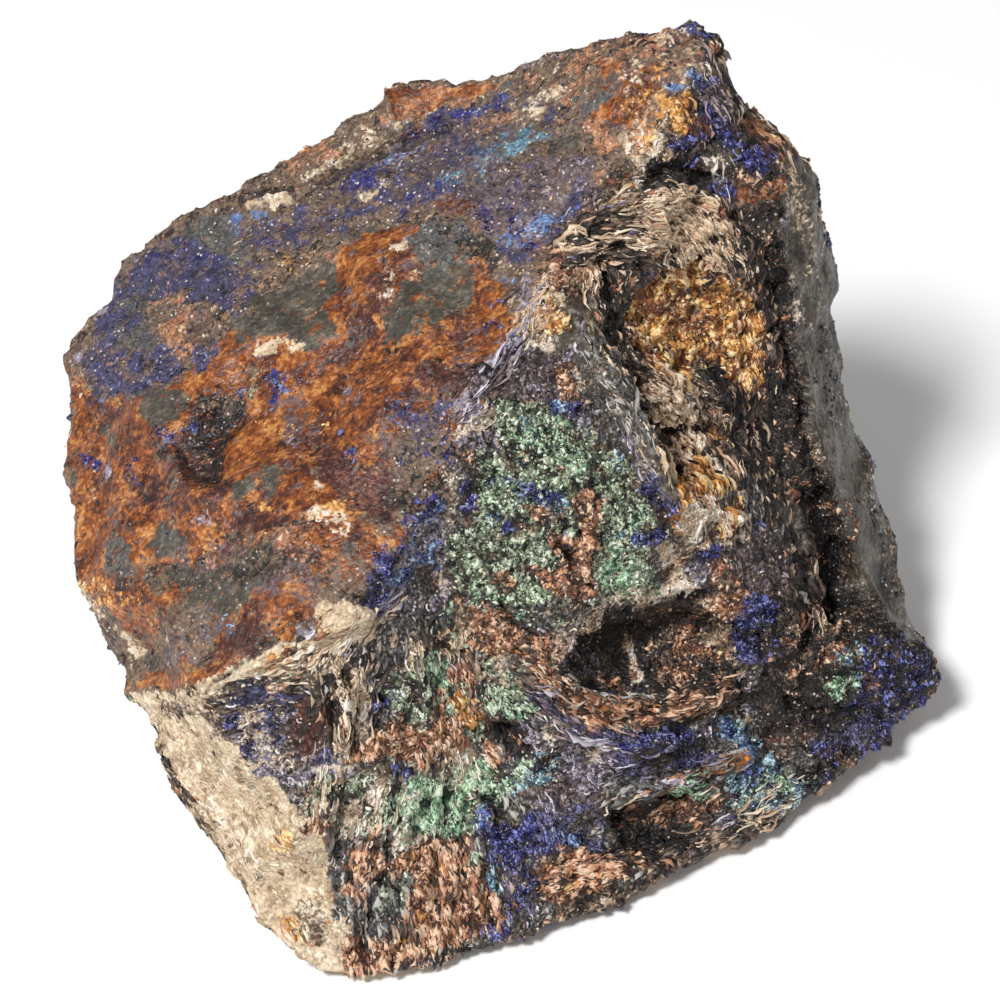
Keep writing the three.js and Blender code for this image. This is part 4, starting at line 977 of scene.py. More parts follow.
# %% Ridges and hollows
FORMS = [  # height in mm, half width (0 for an area), places
    (1.6, 9, 605,216, 640,200, 668,190, 700,203, 730,235, 738,255), (1.0, 6, 560,246, 600,240,
    650,238), (1.4, 14, 572,315, 578,335), (1.6, 13, 590,345, 612,375, 630,410, 645,445, 665,490),
    (-1.8, 9, 606,330, 625,360, 640,400, 660,440, 678,480), (-1.5, 8, 645,178, 680,165, 700,180),
    (-1.6, 8, 600,255, 615,300, 610,340), (-1.0, 0, 640,300, 665,270, 700,262, 750,290, 766,350,
    750,402, 700,372, 665,380, 640,350), (1.2, 7, 625,356, 650,370, 690,390), (1.4, 9, 650,390,
    680,405, 695,440), (-1.5, 8, 650,424, 690,430, 712,430), (-1.5, 8, 725,385), (-1.5, 6,
    675,252), (1.2, 12, 690,470, 715,490), (1.0, 8, 700,510, 740,520), (-2.5, 0, 588,640, 640,624,
    680,612, 722,618, 728,645, 712,685, 640,692, 590,685, 574,664), (1.8, 9, 530,676, 560,698,
    610,712, 660,714, 705,704, 725,690), (1.4, 8, 640,600, 670,585, 700,580), (1.0, 7, 540,715,
    600,742, 660,744, 695,735), (-2.2, 0, 608,808, 650,795, 700,795, 690,830, 655,855, 622,845),
    (1.2, 5, 600,812, 640,795, 700,775, 740,755), (1.2, 5, 585,495, 590,540, 582,575, 590,600),
    (1.0, 5, 545,575, 570,590), (-1.6, 5, 560,545, 575,565), (-1.4, 5, 581,533), (-1.2, 4,
    513,572), (-1.3, 5, 586,584), (-1.2, 4, 500,602, 515,622, 540,640), (0.8, 3, 508,596, 525,618,
    548,632), (-1.2, 4, 443,644, 465,652), (0.9, 8, 742,612, 768,602, 792,620, 790,650, 760,662,
    738,648), (-0.8, 8, 760,633), (-2.0, 10, 772,250, 780,310, 792,370, 806,430, 822,490, 840,550,
    850,600), (1.0, 12, 805,180, 810,250, 808,325), (0.8, 6, 800,350, 815,430, 845,540, 880,610),
    (-2.2, 14, 835,560, 835,600), (0.9, 4, 250,203, 285,198), (-1.0, 3, 255,193, 290,185,
    292,198), (0.9, 5, 305,180, 345,160, 400,135, 440,115), (-0.8, 4, 300,195, 345,170, 400,148,
    450,125), (0.8, 5, 388,90, 390,112), (1.5, 6, 335,668, 345,690, 345,720, 340,745), (-1.4, 4,
    330,700, 336,730), (1.0, 4, 352,668, 368,692), (-1.2, 4, 356,705, 356,745), (1.0, 6, 205,690,
    250,668, 300,640, 370,610), (-0.7, 4, 215,678, 260,650, 300,612), (-1.3, 0, 165,440, 200,420,
    240,400, 245,420, 225,445, 218,478, 185,475), (-1.2, 8, 245,570, 262,562), (1.0, 5, 520,335,
    500,355, 480,372, 465,395), (1.2, 7, 460,406, 485,408), (-1.2, 6, 505,730, 530,745), (1.0, 4,
    522,705, 538,722), (1.2, 4, 540,788, 548,803), (-1.4, 6, 553,755), (-1.2, 5, 538,770),
    (-1.3, 5, 485,798, 505,812), (0.9, 8, 372,830, 362,870), (-1.1, 3, 388,832, 392,868),
    (-1.0, 7, 385,878), (-0.5, 2.5, 215,745, 255,795, 300,830), (0.5, 3, 160,745, 215,820,
    260,885), (0.9, 9, 712,162), (-1.0, 7, 742,160), (0.8, 5, 755,148, 772,158), (1.0, 6, 795,510,
    806,560, 815,595), (1.0, 10, 925,660), (-2.5, 14, 815,500, 832,560, 830,610, 808,650),
    (-1.5, 12, 790,700, 830,720), (1.0, 5, 852,616, 830,638, 806,664), (1.0, 4, 430,852, 420,895),
    (1.0, 4, 452,850, 450,905), (1.0, 4, 474,858, 478,915), (1.0, 4, 492,885, 505,930), (-0.9, 3,
    441,850, 436,900), (-0.9, 3, 463,852, 464,910), (-0.9, 3, 484,870, 492,925), (0.9, 4, 412,788,
    402,838), (0.9, 4, 436,785, 430,835), (0.9, 4, 458,790, 455,838), (-0.8, 3, 424,790, 416,838),
    (-0.8, 3, 447,790, 443,838), (1.3, 7, 484,812, 498,845), (-1.2, 5, 372,880, 402,892),
    (-1.2, 5, 492,722, 514,736), (1.0, 5, 330,795, 322,845), (-1.0, 4, 345,800, 338,850), (1.2, 6,
    400,700, 392,740), (-1.0, 4, 385,690, 378,735), (1.0, 5, 415,660, 425,700), (1.0, 6, 355,900,
    345,950), (-1.0, 4, 372,900, 362,955), (1.0, 6, 400,930, 385,965),
]
SOFT_AREA = 9
points = points_of(rock)
places = in_view(points)
lift = np.zeros(len(points))
for height, width, *numbers in FORMS:
    lift += height * cover(places, width / 2, numbers, soft=width or SOFT_AREA)
lift *= seen
print("forms from", round(lift.min(), 1), "to", round(lift.max(), 1), "mm")

# %% Raise and sink them by weighted groups
WEIGHTS = 20  # steps from no weight to full weight
MOST = 3  # mm


def weigh(name, weights):
    """Makes a vertex group with one weight per point, in even steps."""
    group = rock.vertex_groups.new(name=name)
    steps = np.round(np.clip(weights, 0, 1) * WEIGHTS).astype(int)
    for step in range(1, WEIGHTS + 1):
        group.add(np.flatnonzero(steps == step).tolist(), step / WEIGHTS, "REPLACE")


weigh("raised", lift / MOST)
weigh("sunk", -lift / MOST)
apply_modifier(rock, "DISPLACE", strength=MOST * MM, mid_level=0, vertex_group="raised")
apply_modifier(rock, "DISPLACE", strength=-MOST * MM, mid_level=0, vertex_group="sunk")
print("moved a point by", round(np.abs(points_of(rock) - points).max(), 1), "mm at most")


# %% A textured relief
def roughen(group, kind, height, size, along=(1, 0, 0), stretch=1.0, **settings):
    """Raises and lowers a vertex group by a texture of lumps of a size, in mm."""
    texture = bpy.data.textures.new(group, kind)
    texture.noise_scale = 1.0
    for name, value in settings.items():
        setattr(texture, name, value)
    frame_of_lumps = bpy.data.objects.new("lump_frame", None)
    bpy.context.scene.collection.objects.link(frame_of_lumps)
    turn = Vector(along).to_track_quat("X", "Z").to_matrix().to_4x4()
    lump = (size * stretch * MM, size * MM, size * MM, 1)
    frame_of_lumps.matrix_world = turn @ Matrix.Diagonal(lump)
    bpy.context.view_layer.update()
    apply_modifier(
        rock, "DISPLACE", texture=texture, texture_coords="OBJECT",
        texture_coords_object=frame_of_lumps, strength=height * MM, mid_level=0.5,
        vertex_group=group,
    )
    bpy.data.objects.remove(frame_of_lumps)
    bpy.data.textures.remove(texture)
    reach = np.ptp(points_of(rock), axis=0).round(1)
    print(f"{group:10} {height} mm high in lumps of {size} mm, block now {reach}")


# %% Every mineral's own relief
RIM_RUN = (0.88, 0.10, 0.46)
QUARTZ_RUN = (0.22, -0.35, -0.91)
FIBRE_RUN = (0.37, -0.43, -0.82)
LEDGE_RUN = (0.90, 0.40, -0.15)
across, down = places[:, 0], places[:, 1]
face = share_of("amber", "flame", "olive", "red") * (across < 520)
low_front = smooth(600, 700, down) * smooth(760, 560, across)
rim = share_of("brown", "schist", "rust", "red", "plum") * smooth(260, 215, down) * (across < 600)
crusted = share_of(
    "green", "mint", "teal", "rust", "ochre", "plum", "azurite", "slate", "dark", "sky", "violet",
)
weigh("all_stone", 1 - 0.6 * face)
weigh("layers", rim + share_of("schist") * (across < 380) * 0.7 + (1 - seen) * 0.5)
weigh("crust", crusted - 0.6 * face)
weigh("curls", share_of("mica", "lilac", "cream"))
weigh("flutes", share_of("quartz"))
weigh("fibres", low_front * share_of("rust", "green", "mint", "slate", "dark"))
weigh("ledges", seen * smooth(640, 700, down) * smooth(480, 560, across))
weigh("chips", share_of("ochre", "dark", "mica", "red", "flame") * (across > 560))
RIDGED = {"musgrave_type": "RIDGED_MULTIFRACTAL", "noise_intensity": 0.5}
roughen("all_stone", "CLOUDS", 0.9, 4.5, noise_depth=2)
roughen("layers", "MUSGRAVE", 0.9, 2.2, RIM_RUN, 6.0, **RIDGED)
roughen("crust", "CLOUDS", 1.7, 1.7, noise_depth=3)
roughen("curls", "MUSGRAVE", 1.1, 1.6, LEDGE_RUN, 2.2, **RIDGED)
roughen("flutes", "CLOUDS", 0.9, 2.4, QUARTZ_RUN, 7.0, noise_depth=2)
roughen("fibres", "CLOUDS", 1.2, 1.2, FIBRE_RUN, 5.0, noise_depth=2)
roughen("ledges", "CLOUDS", 2.2, 2.4, LEDGE_RUN, 4.0, noise_depth=2)
roughen("chips", "VORONOI", 1.5, 1.8, distance_metric="DISTANCE")

# %% Keep the underside flat
points = points_of(rock)
points[:, 2] = np.maximum(points[:, 2], 0)
rock.data.vertices.foreach_set("co", (points * MM).ravel())
rock.data.update()
print("the block now spans, mm:", np.round(points.min(axis=0), 1), np.round(points.max(axis=0), 1))

# %% [markdown]
# ## Shader sums as plain sums
#
# A finish mixes a dozen numbers. Wrapping a socket in a small class lets such sums
# be written as Python expressions, and each one adds its own Math node. One method
# makes every other node: its type, its settings, then what goes into its sockets.

# %% Numbers and nodes
class Number:
    """A number from a node's socket, for use in sums."""

    def __init__(self, finish, socket):
        self.finish, self.socket = finish, socket

    def sum(self, operation, first, second):
        return self.finish.number("ShaderNodeMath", {"operation": operation}, {0: first, 1: second})

    def __add__(self, other):
        return self.sum("ADD", self, other)

    def __sub__(self, other):
        return self.sum("SUBTRACT", self, other)

    def __rsub__(self, other):
        return self.sum("SUBTRACT", other, self)

    def __mul__(self, other):
        return self.sum("MULTIPLY", self, other)

    __radd__, __rmul__ = __add__, __mul__


print("sums:", [name for name in vars(Number) if name.endswith(("add__", "sub__", "mul__"))])


# %% A finish and its nodes
class Finish:
    """A material whose nodes are made one by one."""

    def __init__(self, name):
        self.material = bpy.data.materials.new(name)
        self.material.use_nodes = True
        self.nodes = self.material.node_tree.nodes
        self.shader = self.nodes["Principled BSDF"]
        self.place = self.node("ShaderNodeTexCoord").outputs["Object"]

    def node(self, kind, settings=None, values=None):
        """Any node: its type, its settings, then the values or links of its sockets."""
        made = self.nodes.new(kind)
        for name, value in (settings or {}).items():
            if name == "stops":
                stops = made.color_ramp.elements
                while len(stops) < len(value):
                    stops.new(0.5)
                for stop, (position, tint) in zip(stops, value):
                    stop.position, stop.color = position, tint
            else:
                setattr(made, name, value)
        for name, value in (values or {}).items():
            self.put(made.inputs[name], value)
        return made

    def put(self, socket, value):
        """Links a number or a socket to a socket, or sets its plain value."""
        source = value.socket if isinstance(value, Number) else value
        if isinstance(source, bpy.types.NodeSocket):
            self.material.node_tree.links.new(source, socket)
        else:
            socket.default_value = source

    def number(self, kind, settings=None, values=None, output=0):
        """A node's output, wrapped for sums."""
        return Number(self, self.node(kind, settings, values).outputs[output])

    def kept(self, name):
        """A number that the mesh keeps for each point."""
        return self.number("ShaderNodeAttribute", {"attribute_name": name}, output="Fac")

    def step(self, low, high, value):
        """0 below low, 1 above high, with an easy curve between."""
        limits = {"Value": value, "From Min": low, "From Max": high}
        return self.number("ShaderNodeMapRange", {"interpolation_type": "SMOOTHSTEP"}, limits)

    def noise(self, size, detail=2.0, place=None):
        """Cloudy noise with lumps of a size in millimetres."""
        values = {"Vector": place or self.place, "Scale": 1 / (size * MM), "Detail": detail}
        return self.node("ShaderNodeTexNoise", {}, values)

    def cells(self, size, place=None):
        """Rounded cells of a size in millimetres, such as grains."""
        values = {"Vector": place or self.place, "Scale": 1 / (size * MM)}
        return self.node("ShaderNodeTexVoronoi", {}, values)

    def parts(self, tint):
        """The red, green and blue of a node's colour, as three numbers."""
        split = self.node("ShaderNodeSeparateColor", {}, {"Color": tint})
        return [Number(self, split.outputs[index]) for index in range(3)]

    def ramp(self, value, tints):
        """A colour that runs evenly through tints, dark to light, as value rises."""
        stops = [(index / (len(tints) - 1), colour(*tint)) for index, tint in enumerate(tints)]
        return self.node("ShaderNodeValToRGB", {"stops": stops}, {"Fac": value}).outputs["Color"]

    def mix(self, amount, below, above, way="MIX"):
        """A colour with another laid over it by an amount."""
        settings = {"data_type": "RGBA", "blend_type": way}
        return self.node("ShaderNodeMix", settings, {0: amount, 6: below, 7: above}).outputs[2]

    def bump(self, height, strength, below=None):
        """A fine relief of a height in metres."""
        values = {"Height": height, "Strength": strength, "Distance": 1.0}
        if below is not None:
            values["Normal"] = below
        return self.node("ShaderNodeBump", {}, values).outputs["Normal"]


print("nodes:", [name for name in vars(Finish) if not name.startswith("_")])

# %% [markdown]
# ## The rock's finish
#
# Each mineral is a run of its own colours, from its darkest to its lightest grain.
# The grains come from tiny cells with a random tone each; glassy iron stain and
# quartz take broad soft clouds instead. The minerals are laid over each other by
# their shares, and noise breaks a low share into specks. Painted shade then darkens
# the cracks between grains, the grainy crusts and the hollows, and a few grains get
# a painted pale glint, a painted highlight like that of broken crystal faces.

# %% What the mesh keeps for the finish
def keep(piece, name, values):
    """Stores one number per point under a name."""
    layer = piece.data.attributes.new(name, "FLOAT", "POINT")
    layer.data.foreach_set("value", np.ascontiguousarray(values, dtype=np.float32))


running = share_of(MINERALS[0])
for mineral in MINERALS[1:]:
    share = share_of(mineral)
    running = running + share
    keep(rock, mineral, share / np.maximum(running, 0.001))
GRAINY = {
    "schist": 0.35, "quartz": 0.15, "olive": 0.35, "slate": 0.8, "amber": 0.22, "flame": 0.12,
    "red": 0.4, "cream": 0.5, "sky": 0.6, "mica": 0.6,
}
grainy = sum(share_of(mineral) * GRAINY.get(mineral, 1.0) for mineral in MINERALS)
keep(rock, "grainy", grainy * (1 - 0.5 * upper))
keep(rock, "calm", upper)
print("kept for each point:", len(MINERALS) - 1, "shares, grainy and calm")

# %% The colours of each mineral, dark to light
TINTS = {
    "brown": [(38, 27, 22), (96, 76, 62), (136, 112, 92), (186, 162, 138)],
    "schist": [(156, 130, 102), (200, 176, 144), (220, 198, 168), (240, 226, 200)],
    "quartz": [(34, 28, 23), (64, 56, 46), (84, 75, 65), (134, 125, 114)],
    "olive": [(46, 42, 35), (66, 61, 52), (80, 74, 64), (110, 102, 89)],
    "slate": [(32, 32, 34), (74, 73, 72), (108, 105, 100), (186, 182, 174)],
    "plum": [(40, 30, 34), (84, 68, 70), (118, 100, 102), (172, 152, 150)],
    "amber": [(60, 28, 14), (114, 58, 24), (154, 86, 34), (200, 140, 80)],
    "flame": [(98, 38, 14), (142, 64, 20), (174, 90, 30), (212, 136, 66)],
    "red": [(32, 18, 17), (64, 32, 26), (88, 45, 33), (130, 82, 66)],
    "rust": [(66, 38, 28), (158, 104, 76), (202, 148, 112), (236, 202, 172)],
    "ochre": [(116, 66, 28), (204, 132, 62), (232, 176, 100), (248, 220, 164)],
    "green": [(26, 30, 24), (112, 126, 100), (168, 182, 150), (224, 234, 210)],
    "teal": [(20, 34, 52), (70, 108, 132), (122, 162, 174), (204, 226, 226)],
    "mint": [(44, 70, 54), (132, 176, 138), (176, 212, 172), (220, 240, 214)],
    "violet": [(28, 24, 42), (56, 54, 82), (78, 75, 114), (124, 120, 162)],
    "azurite": [(14, 10, 30), (36, 32, 82), (58, 58, 136), (128, 134, 196)],
    "sky": [(42, 50, 92), (80, 106, 158), (116, 146, 192), (180, 200, 224)],
    "mica": [(104, 78, 58), (190, 156, 124), (222, 194, 162), (248, 232, 208)],
    "lilac": [(78, 68, 84), (138, 128, 146), (180, 170, 184), (230, 224, 230)],
    "cream": [(168, 140, 112), (212, 188, 158), (234, 216, 194), (250, 242, 230)],
    # dark: near-black matter, and the colour of painted shade in voids and hollows
    "dark": [(10, 8, 8), (24, 20, 18), (43, 36, 32), (88, 74, 66)],
}
SOFT_TONED = ("schist", "quartz", "olive", "amber", "flame", "red", "cream")
print("tints of", len(TINTS), "minerals")

# %% The finish
SHADOW, SHADE, GLINT = colour(22, 17, 17), colour(26, 20, 20), colour(226, 216, 204)


def rock_finish():
    """Layers of coloured grains, with painted shade in cracks and hollows and painted pale glints.
    """
    finish = Finish("weathered_rock")
    curl = finish.noise(1.5, 1.0).outputs["Color"]
    warp = {0: curl, 1: (0.4 * MM,) * 3, 2: finish.place}
    bent = finish.node("ShaderNodeVectorMath", {"operation": "MULTIPLY_ADD"}, warp)
    bent = bent.outputs["Vector"]
    fine, lumps = finish.noise(0.55, 2.0, bent), finish.noise(2.4, 3.0)
    grains = finish.cells(0.3, place=bent)
    fines, broads = finish.parts(fine.outputs["Color"]), finish.parts(lumps.outputs["Color"])
    grain_tone, grain_luck, grain_glint = finish.parts(grains.outputs["Color"])
    grainy = finish.kept("grainy")
    soft_tone = finish.step(0.3, 0.7, broads[0] * 0.6 + fines[0] * 0.4 + (grain_tone - 0.5) * 0.12)
    rough_tone = finish.step(0.12, 0.9, grain_tone * 0.45 + fines[1] * 0.35 + broads[1] * 0.2)
    rough_tone = rough_tone - (rough_tone - 0.5) * finish.kept("calm") * 0.5
    tint = finish.ramp(rough_tone, TINTS["brown"])
    for index, mineral in enumerate(MINERALS[1:]):
        tone = soft_tone if mineral in SOFT_TONED else rough_tone
        speck = fines[index % 3] * 0.5 + broads[index // 3 % 3] * 0.25 + grain_luck * 0.25
        shown = finish.step(0.34, 0.66, finish.kept(mineral) + (speck - 0.5) * 1.6)
        tint = finish.mix(shown, tint, finish.ramp(tone, TINTS[mineral]))
    edge = Number(finish, grains.outputs["Distance"])
    threads = finish.number("ShaderNodeMath", {"operation": "ABSOLUTE"}, {0: fines[2] - 0.5})
    # painted shade: the cracks between grains and along thin threads are darkened toward SHADOW
    crack_shade = finish.step(0.05, 0.0, threads) * 0.7 + finish.step(0.5, 0.75, edge) * 0.6
    tint = finish.mix(crack_shade * grainy, tint, SHADOW)
    # painted shade: grainy crusts are darkened a little all over, for the shade between their
    # grains
    tint = finish.mix(finish.step(0.5, 1.0, grainy) * 0.2, tint, SHADE)
    # painted shade: the deeper hollows are darkened toward SHADOW
    tint = finish.mix(finish.step(0.15, 1.0, finish.kept("hollow")) * 0.8, tint, SHADOW)
    # painted highlight: a few grains away from cell edges are given the pale GLINT colour
    glint = finish.step(0.94, 0.95, grain_glint) * finish.step(0.2, 0.5, grainy)
    glint = glint * finish.step(0.5, 0.3, edge) * 0.75
    tint = finish.mix(glint, tint, GLINT)
    finish.put(finish.shader.inputs["Base Color"], tint)
    glassy = finish.kept("quartz") + finish.kept("amber") + finish.kept("azurite") * 0.8
    finish.put(finish.shader.inputs["Roughness"], 0.62 - glassy * 0.2 - glint * 0.25)
    fine_height = Number(finish, fine.outputs["Fac"]) * (0.6 * MM)
    height = ((1 - edge) * (0.12 * MM) + fine_height) * (grainy + 0.15)
    finish.put(finish.shader.inputs["Normal"], finish.bump(height, 1.0))
    return finish.material


print("shadow, shade and glint:", np.round([SHADOW, SHADE, GLINT], 2)[:, :3].tolist())


# %% How deep a point lies
HOLLOW = 0.16  # mm below its surroundings after one round, for a full hollow


def hollows(piece, rounds=(4, 14)):
    """How deep each point lies below its surroundings, at two scales."""
    ends = np.empty(len(piece.data.edges) * 2, dtype=int)
    piece.data.edges.foreach_get("vertices", ends)
    one, other = ends.reshape(-1, 2).T
    here, normals = points_of(piece), normals_of(piece)
    count = np.bincount(np.concatenate([one, other]), minlength=len(here))[:, None]
    blurred, depth = here.copy(), np.zeros(len(here))
    for turn in range(1, max(rounds) + 1):
        total = np.zeros_like(blurred)
        for axis in range(3):
            total[:, axis] += np.bincount(one, blurred[other, axis], len(here))
            total[:, axis] += np.bincount(other, blurred[one, axis], len(here))
        blurred = total / count
        if turn in rounds:
            below = ((blurred - here) * normals).sum(axis=1)
            depth = np.maximum(depth, below / (HOLLOW * turn ** 0.5))
    return np.clip(depth, 0, 1)


hollow = hollows(rock)
# kept for the finish, which paints shade into the points that lie in hollows
keep(rock, "hollow", hollow)
print(f"in hollows: {(hollow > 0.3).mean():.1%} of the points")

# %% Dress the rock
rock.data.materials.append(rock_finish())
only(rock)
bpy.ops.object.shade_smooth()
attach(rock, "root")
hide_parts("azurite_rock")
print(rock.name, "wears", rock.data.materials[0].name)

# %% [markdown]
# ## Crusts of small grains
#
# What makes the surface sparkle are grains too small to model one by one: prisms of
# azurite, granules of malachite, chips of iron ochre, crumbs of schist and bent
# flakes of mica. Four seed grains are modelled, and the rest are turned and sized
# copies of them, set thickly where their mineral has its share. Each crust is a
# single mesh, and each grain keeps its own tint from the run of its mineral.

# %% Where grains can sit
rng = np.random.default_rng(11)
rock.data.calc_loop_triangles()
corners = np.empty(len(rock.data.loop_triangles) * 3, dtype=np.int32)
rock.data.loop_triangles.foreach_get("vertices", corners)
corners = corners.reshape(-1, 3)
points, normals = points_of(rock), normals_of(rock)
first, second, third = (points[corners[:, corner]] for corner in range(3))
face_area = np.linalg.norm(np.cross(second - first, third - first), axis=1) / 2
face_seen = seen[corners].mean(axis=1)
face_weight = face_area * (0.25 + 0.75 * face_seen) * (first[:, 2] > 0.4)
face_hollow = hollow[corners].mean(axis=1)
face_weight *= (1 - 0.85 * upper[corners].mean(axis=1)) * (1 - 0.6 * face_hollow)
print("the rock's skin is", round(face_area.sum() / 100), "square centimetres")


# %% Random spots on a mineral
def face_share(mineral):
    """A mineral's share on each face."""
    return share_of(mineral)[corners].mean(axis=1)


def spots_for(mineral, count):
    """Random spots on the faces that hold a mineral: places, normals, how sunken."""
    weight = face_weight * np.clip(face_share(mineral) - 0.08, 0, 1)
    chosen = rng.choice(len(corners), size=count, p=weight / weight.sum())
    across, along = rng.random((2, count, 1))
    across, along = np.where(across + along > 1, (1 - across, 1 - along), (across, along))
    start = first[chosen]
    spots = start + (second[chosen] - start) * across + (third[chosen] - start) * along
    return spots, normals[corners[chosen]].mean(axis=1), face_hollow[chosen]


def counts_for(minerals, total):
    """How many grains each mineral gets, by its share and by how it is liked."""
    wanted = np.array([(face_share(mineral) * face_weight).sum() * liking
                       for mineral, liking in minerals.items()])
    return zip(minerals, (total * wanted / wanted.sum()).astype(int))


print("of 100 grains:", dict(counts_for({"azurite": 1, "green": 1, "mica": 1}, 100)))

# %% The way the stone runs
FLOWS = [  # lines along which ridges, ribbons and fibres run, in the view
    (560,243, 600,240, 642,240), (545,222, 605,214, 640,200, 668,188, 700,203, 728,240, 740,262),
    (610,228, 650,214, 685,222, 712,250), (640,222, 668,232, 690,262), (630,236, 650,262),
    (735,195, 745,255, 756,310, 766,385), (624,350, 655,368, 690,382), (640,380, 668,408, 690,452,
    700,478), (655,395, 690,420, 720,470, 735,510), (600,262, 604,310, 606,345), (590,345,
    620,390, 645,440, 672,500), (745,400, 752,450, 765,500), (345,660, 336,700, 344,745),
    (366,664, 374,700, 356,750), (318,668, 326,720, 322,760), (205,690, 255,668, 310,640,
    370,608), (232,705, 290,690, 330,700), (396,780, 386,830), (432,760, 440,850, 448,880),
    (470,830, 484,880, 496,920), (366,830, 350,876), (332,776, 322,850), (400,880, 410,940),
    (440,900, 452,950), (356,900, 366,960), (500,870, 520,935), (524,690, 560,720, 596,744,
    650,762), (528,668, 560,694, 610,712, 660,714, 724,698), (455,640, 475,690, 500,740),
    (420,640, 440,700, 470,760), (505,770, 530,800, 545,840), (600,865, 660,850, 730,825,
    800,795), (605,808, 650,793, 700,775, 745,752), (560,880, 600,870), (790,510, 806,560,
    815,600), (115,300, 180,230, 300,185, 450,122, 600,55, 690,30), (200,262, 330,240, 480,195,
    560,170), (522,288, 512,345, 468,398, 450,415), (136,700, 200,800, 300,940), (165,720,
    240,800, 330,900), (150,745, 215,820, 262,888), (700,30, 730,90, 780,140), (690,90, 720,150),
    (760,150, 790,170),
]


def flow_at(places, reach=22.0):
    """The way the stone runs at each place, as a unit line in the view, and how strongly.
    An angle is doubled while it is averaged, so that a line has no front or back."""
    doubled, strength = np.zeros((len(places), 2)), np.zeros(len(places))
    for numbers in FLOWS:
        stations = corners_of(numbers)
        for (x1, y1), (x2, y2) in zip(stations, stations[1:]):
            gap = far_from_line(places, [(x1, y1), (x2, y2)], closed=False)
            pull = 1 - (1 - np.exp(-(gap / reach) ** 2)) ** 2
            angle = 2 * math.atan2(y2 - y1, x2 - x1)
            doubled += pull[:, None] * (math.cos(angle), math.sin(angle))
            strength = np.maximum(strength, pull)
    angle = np.arctan2(doubled[:, 1], doubled[:, 0]) / 2
    return np.stack([np.cos(angle), np.sin(angle)], axis=1), strength


def in_space(line):
    """A line of the view as a direction in space."""
    return line[:, :1] * np.array([1.0, 0.0, 0.0]) - line[:, 1:] * VIEW_UP


print("strongly run:", f"{(flow_at(in_view(points))[1] > 0.5).mean():.0%}", "of the points")


# %% How a grain is turned and tinted
def run_at(spots):
    """The run of the stone with a little scatter, as a direction in space."""
    line, strength = flow_at(in_view(spots) + 6 * rng.normal(size=(len(spots), 2)))
    return in_space(line), strength[:, None]


def turned(normals, tilt, run, strength):
    """One frame per grain: it stands on the surface, tilted, and lies along the run."""
    up = normals + tilt * (1.2 - strength) * rng.normal(size=normals.shape)
    up /= np.linalg.norm(up, axis=1)[:, None]
    run = run * strength + (1.1 - strength) * rng.normal(size=normals.shape)
    side = np.cross(up, run)
    side /= np.linalg.norm(side, axis=1)[:, None]
    return np.stack([np.cross(side, up), side, up], axis=2)


def tint_of(mineral, tone):
    """Linear colours on a mineral's run of tints, for tones of 0 to 1."""
    stops = np.array([colour(*tint)[:3] for tint in TINTS[mineral]])
    places = np.linspace(0, 1, len(stops))
    return np.stack([np.interp(tone, places, stops[:, part]) for part in range(3)], axis=1)


def low_at(spots):
    """1 on the lower front, where grains are lighter and strands rarer."""
    across, down = in_view(spots).T
    return smooth(640, 760, down) * smooth(700, 560, across)


print("half way through azurite's run:", tint_of("azurite", [0.5]).round(3))


# %% Many grains as one mesh
ABOVE_FLOOR = 0.02  # mm


def grain_finish(name, rough):
    """A finish that shows each grain's own tint, a little specked."""
    finish = Finish(name)
    tint = finish.node("ShaderNodeAttribute", {"attribute_name": "tint"}).outputs["Color"]
    speck = Number(finish, finish.noise(0.16, 1.0).outputs["Fac"])
    tint = finish.mix(finish.step(0.35, 0.65, speck) * 0.2, tint, colour(20, 16, 18))
    finish.put(finish.shader.inputs["Base Color"], tint)
    finish.shader.inputs["Roughness"].default_value = rough
    return finish.material


def set_down(name, grains, faces, tints, rough):
    """Joins grains, given by the points and tints of each one, into a piece."""
    number, size = grains.shape[:2]
    joined = grains.reshape(-1, 3)
    joined[:, 2] = np.maximum(joined[:, 2], ABOVE_FLOOR)
    flat = np.concatenate([np.array(face) for face in faces])
    loops = (flat[None] + (np.arange(number) * size)[:, None]).ravel()
    lengths = np.tile([len(face) for face in faces], number)
    mesh = bpy.data.meshes.new(name)
    mesh.vertices.add(len(joined))
    mesh.vertices.foreach_set("co", (joined * MM).ravel())
    mesh.loops.add(len(loops))
    mesh.loops.foreach_set("vertex_index", loops)
    mesh.polygons.add(len(lengths))
    mesh.polygons.foreach_set("loop_start", np.concatenate([[0], np.cumsum(lengths)[:-1]]))
    mesh.update(calc_edges=True)
    layer = mesh.attributes.new("tint", "FLOAT_COLOR", "POINT")
    tints = np.concatenate([tints.reshape(-1, 3), np.ones((len(joined), 1))], axis=1)
    layer.data.foreach_set("color", tints.astype(np.float32).ravel())
    piece = bpy.data.objects.new(name, mesh)
    bpy.context.scene.collection.objects.link(piece)
    mesh.materials.append(grain_finish(name, rough))
    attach(piece, "root")
    print(name, number, "grains,", len(mesh.polygons), "faces")


# %% One grain becomes thousands
THIN_LAYERS = (100,320, 300,200, 480,130, 600,90)  # grains are smaller along the rim
FIRST_PATCH_SEED = 70


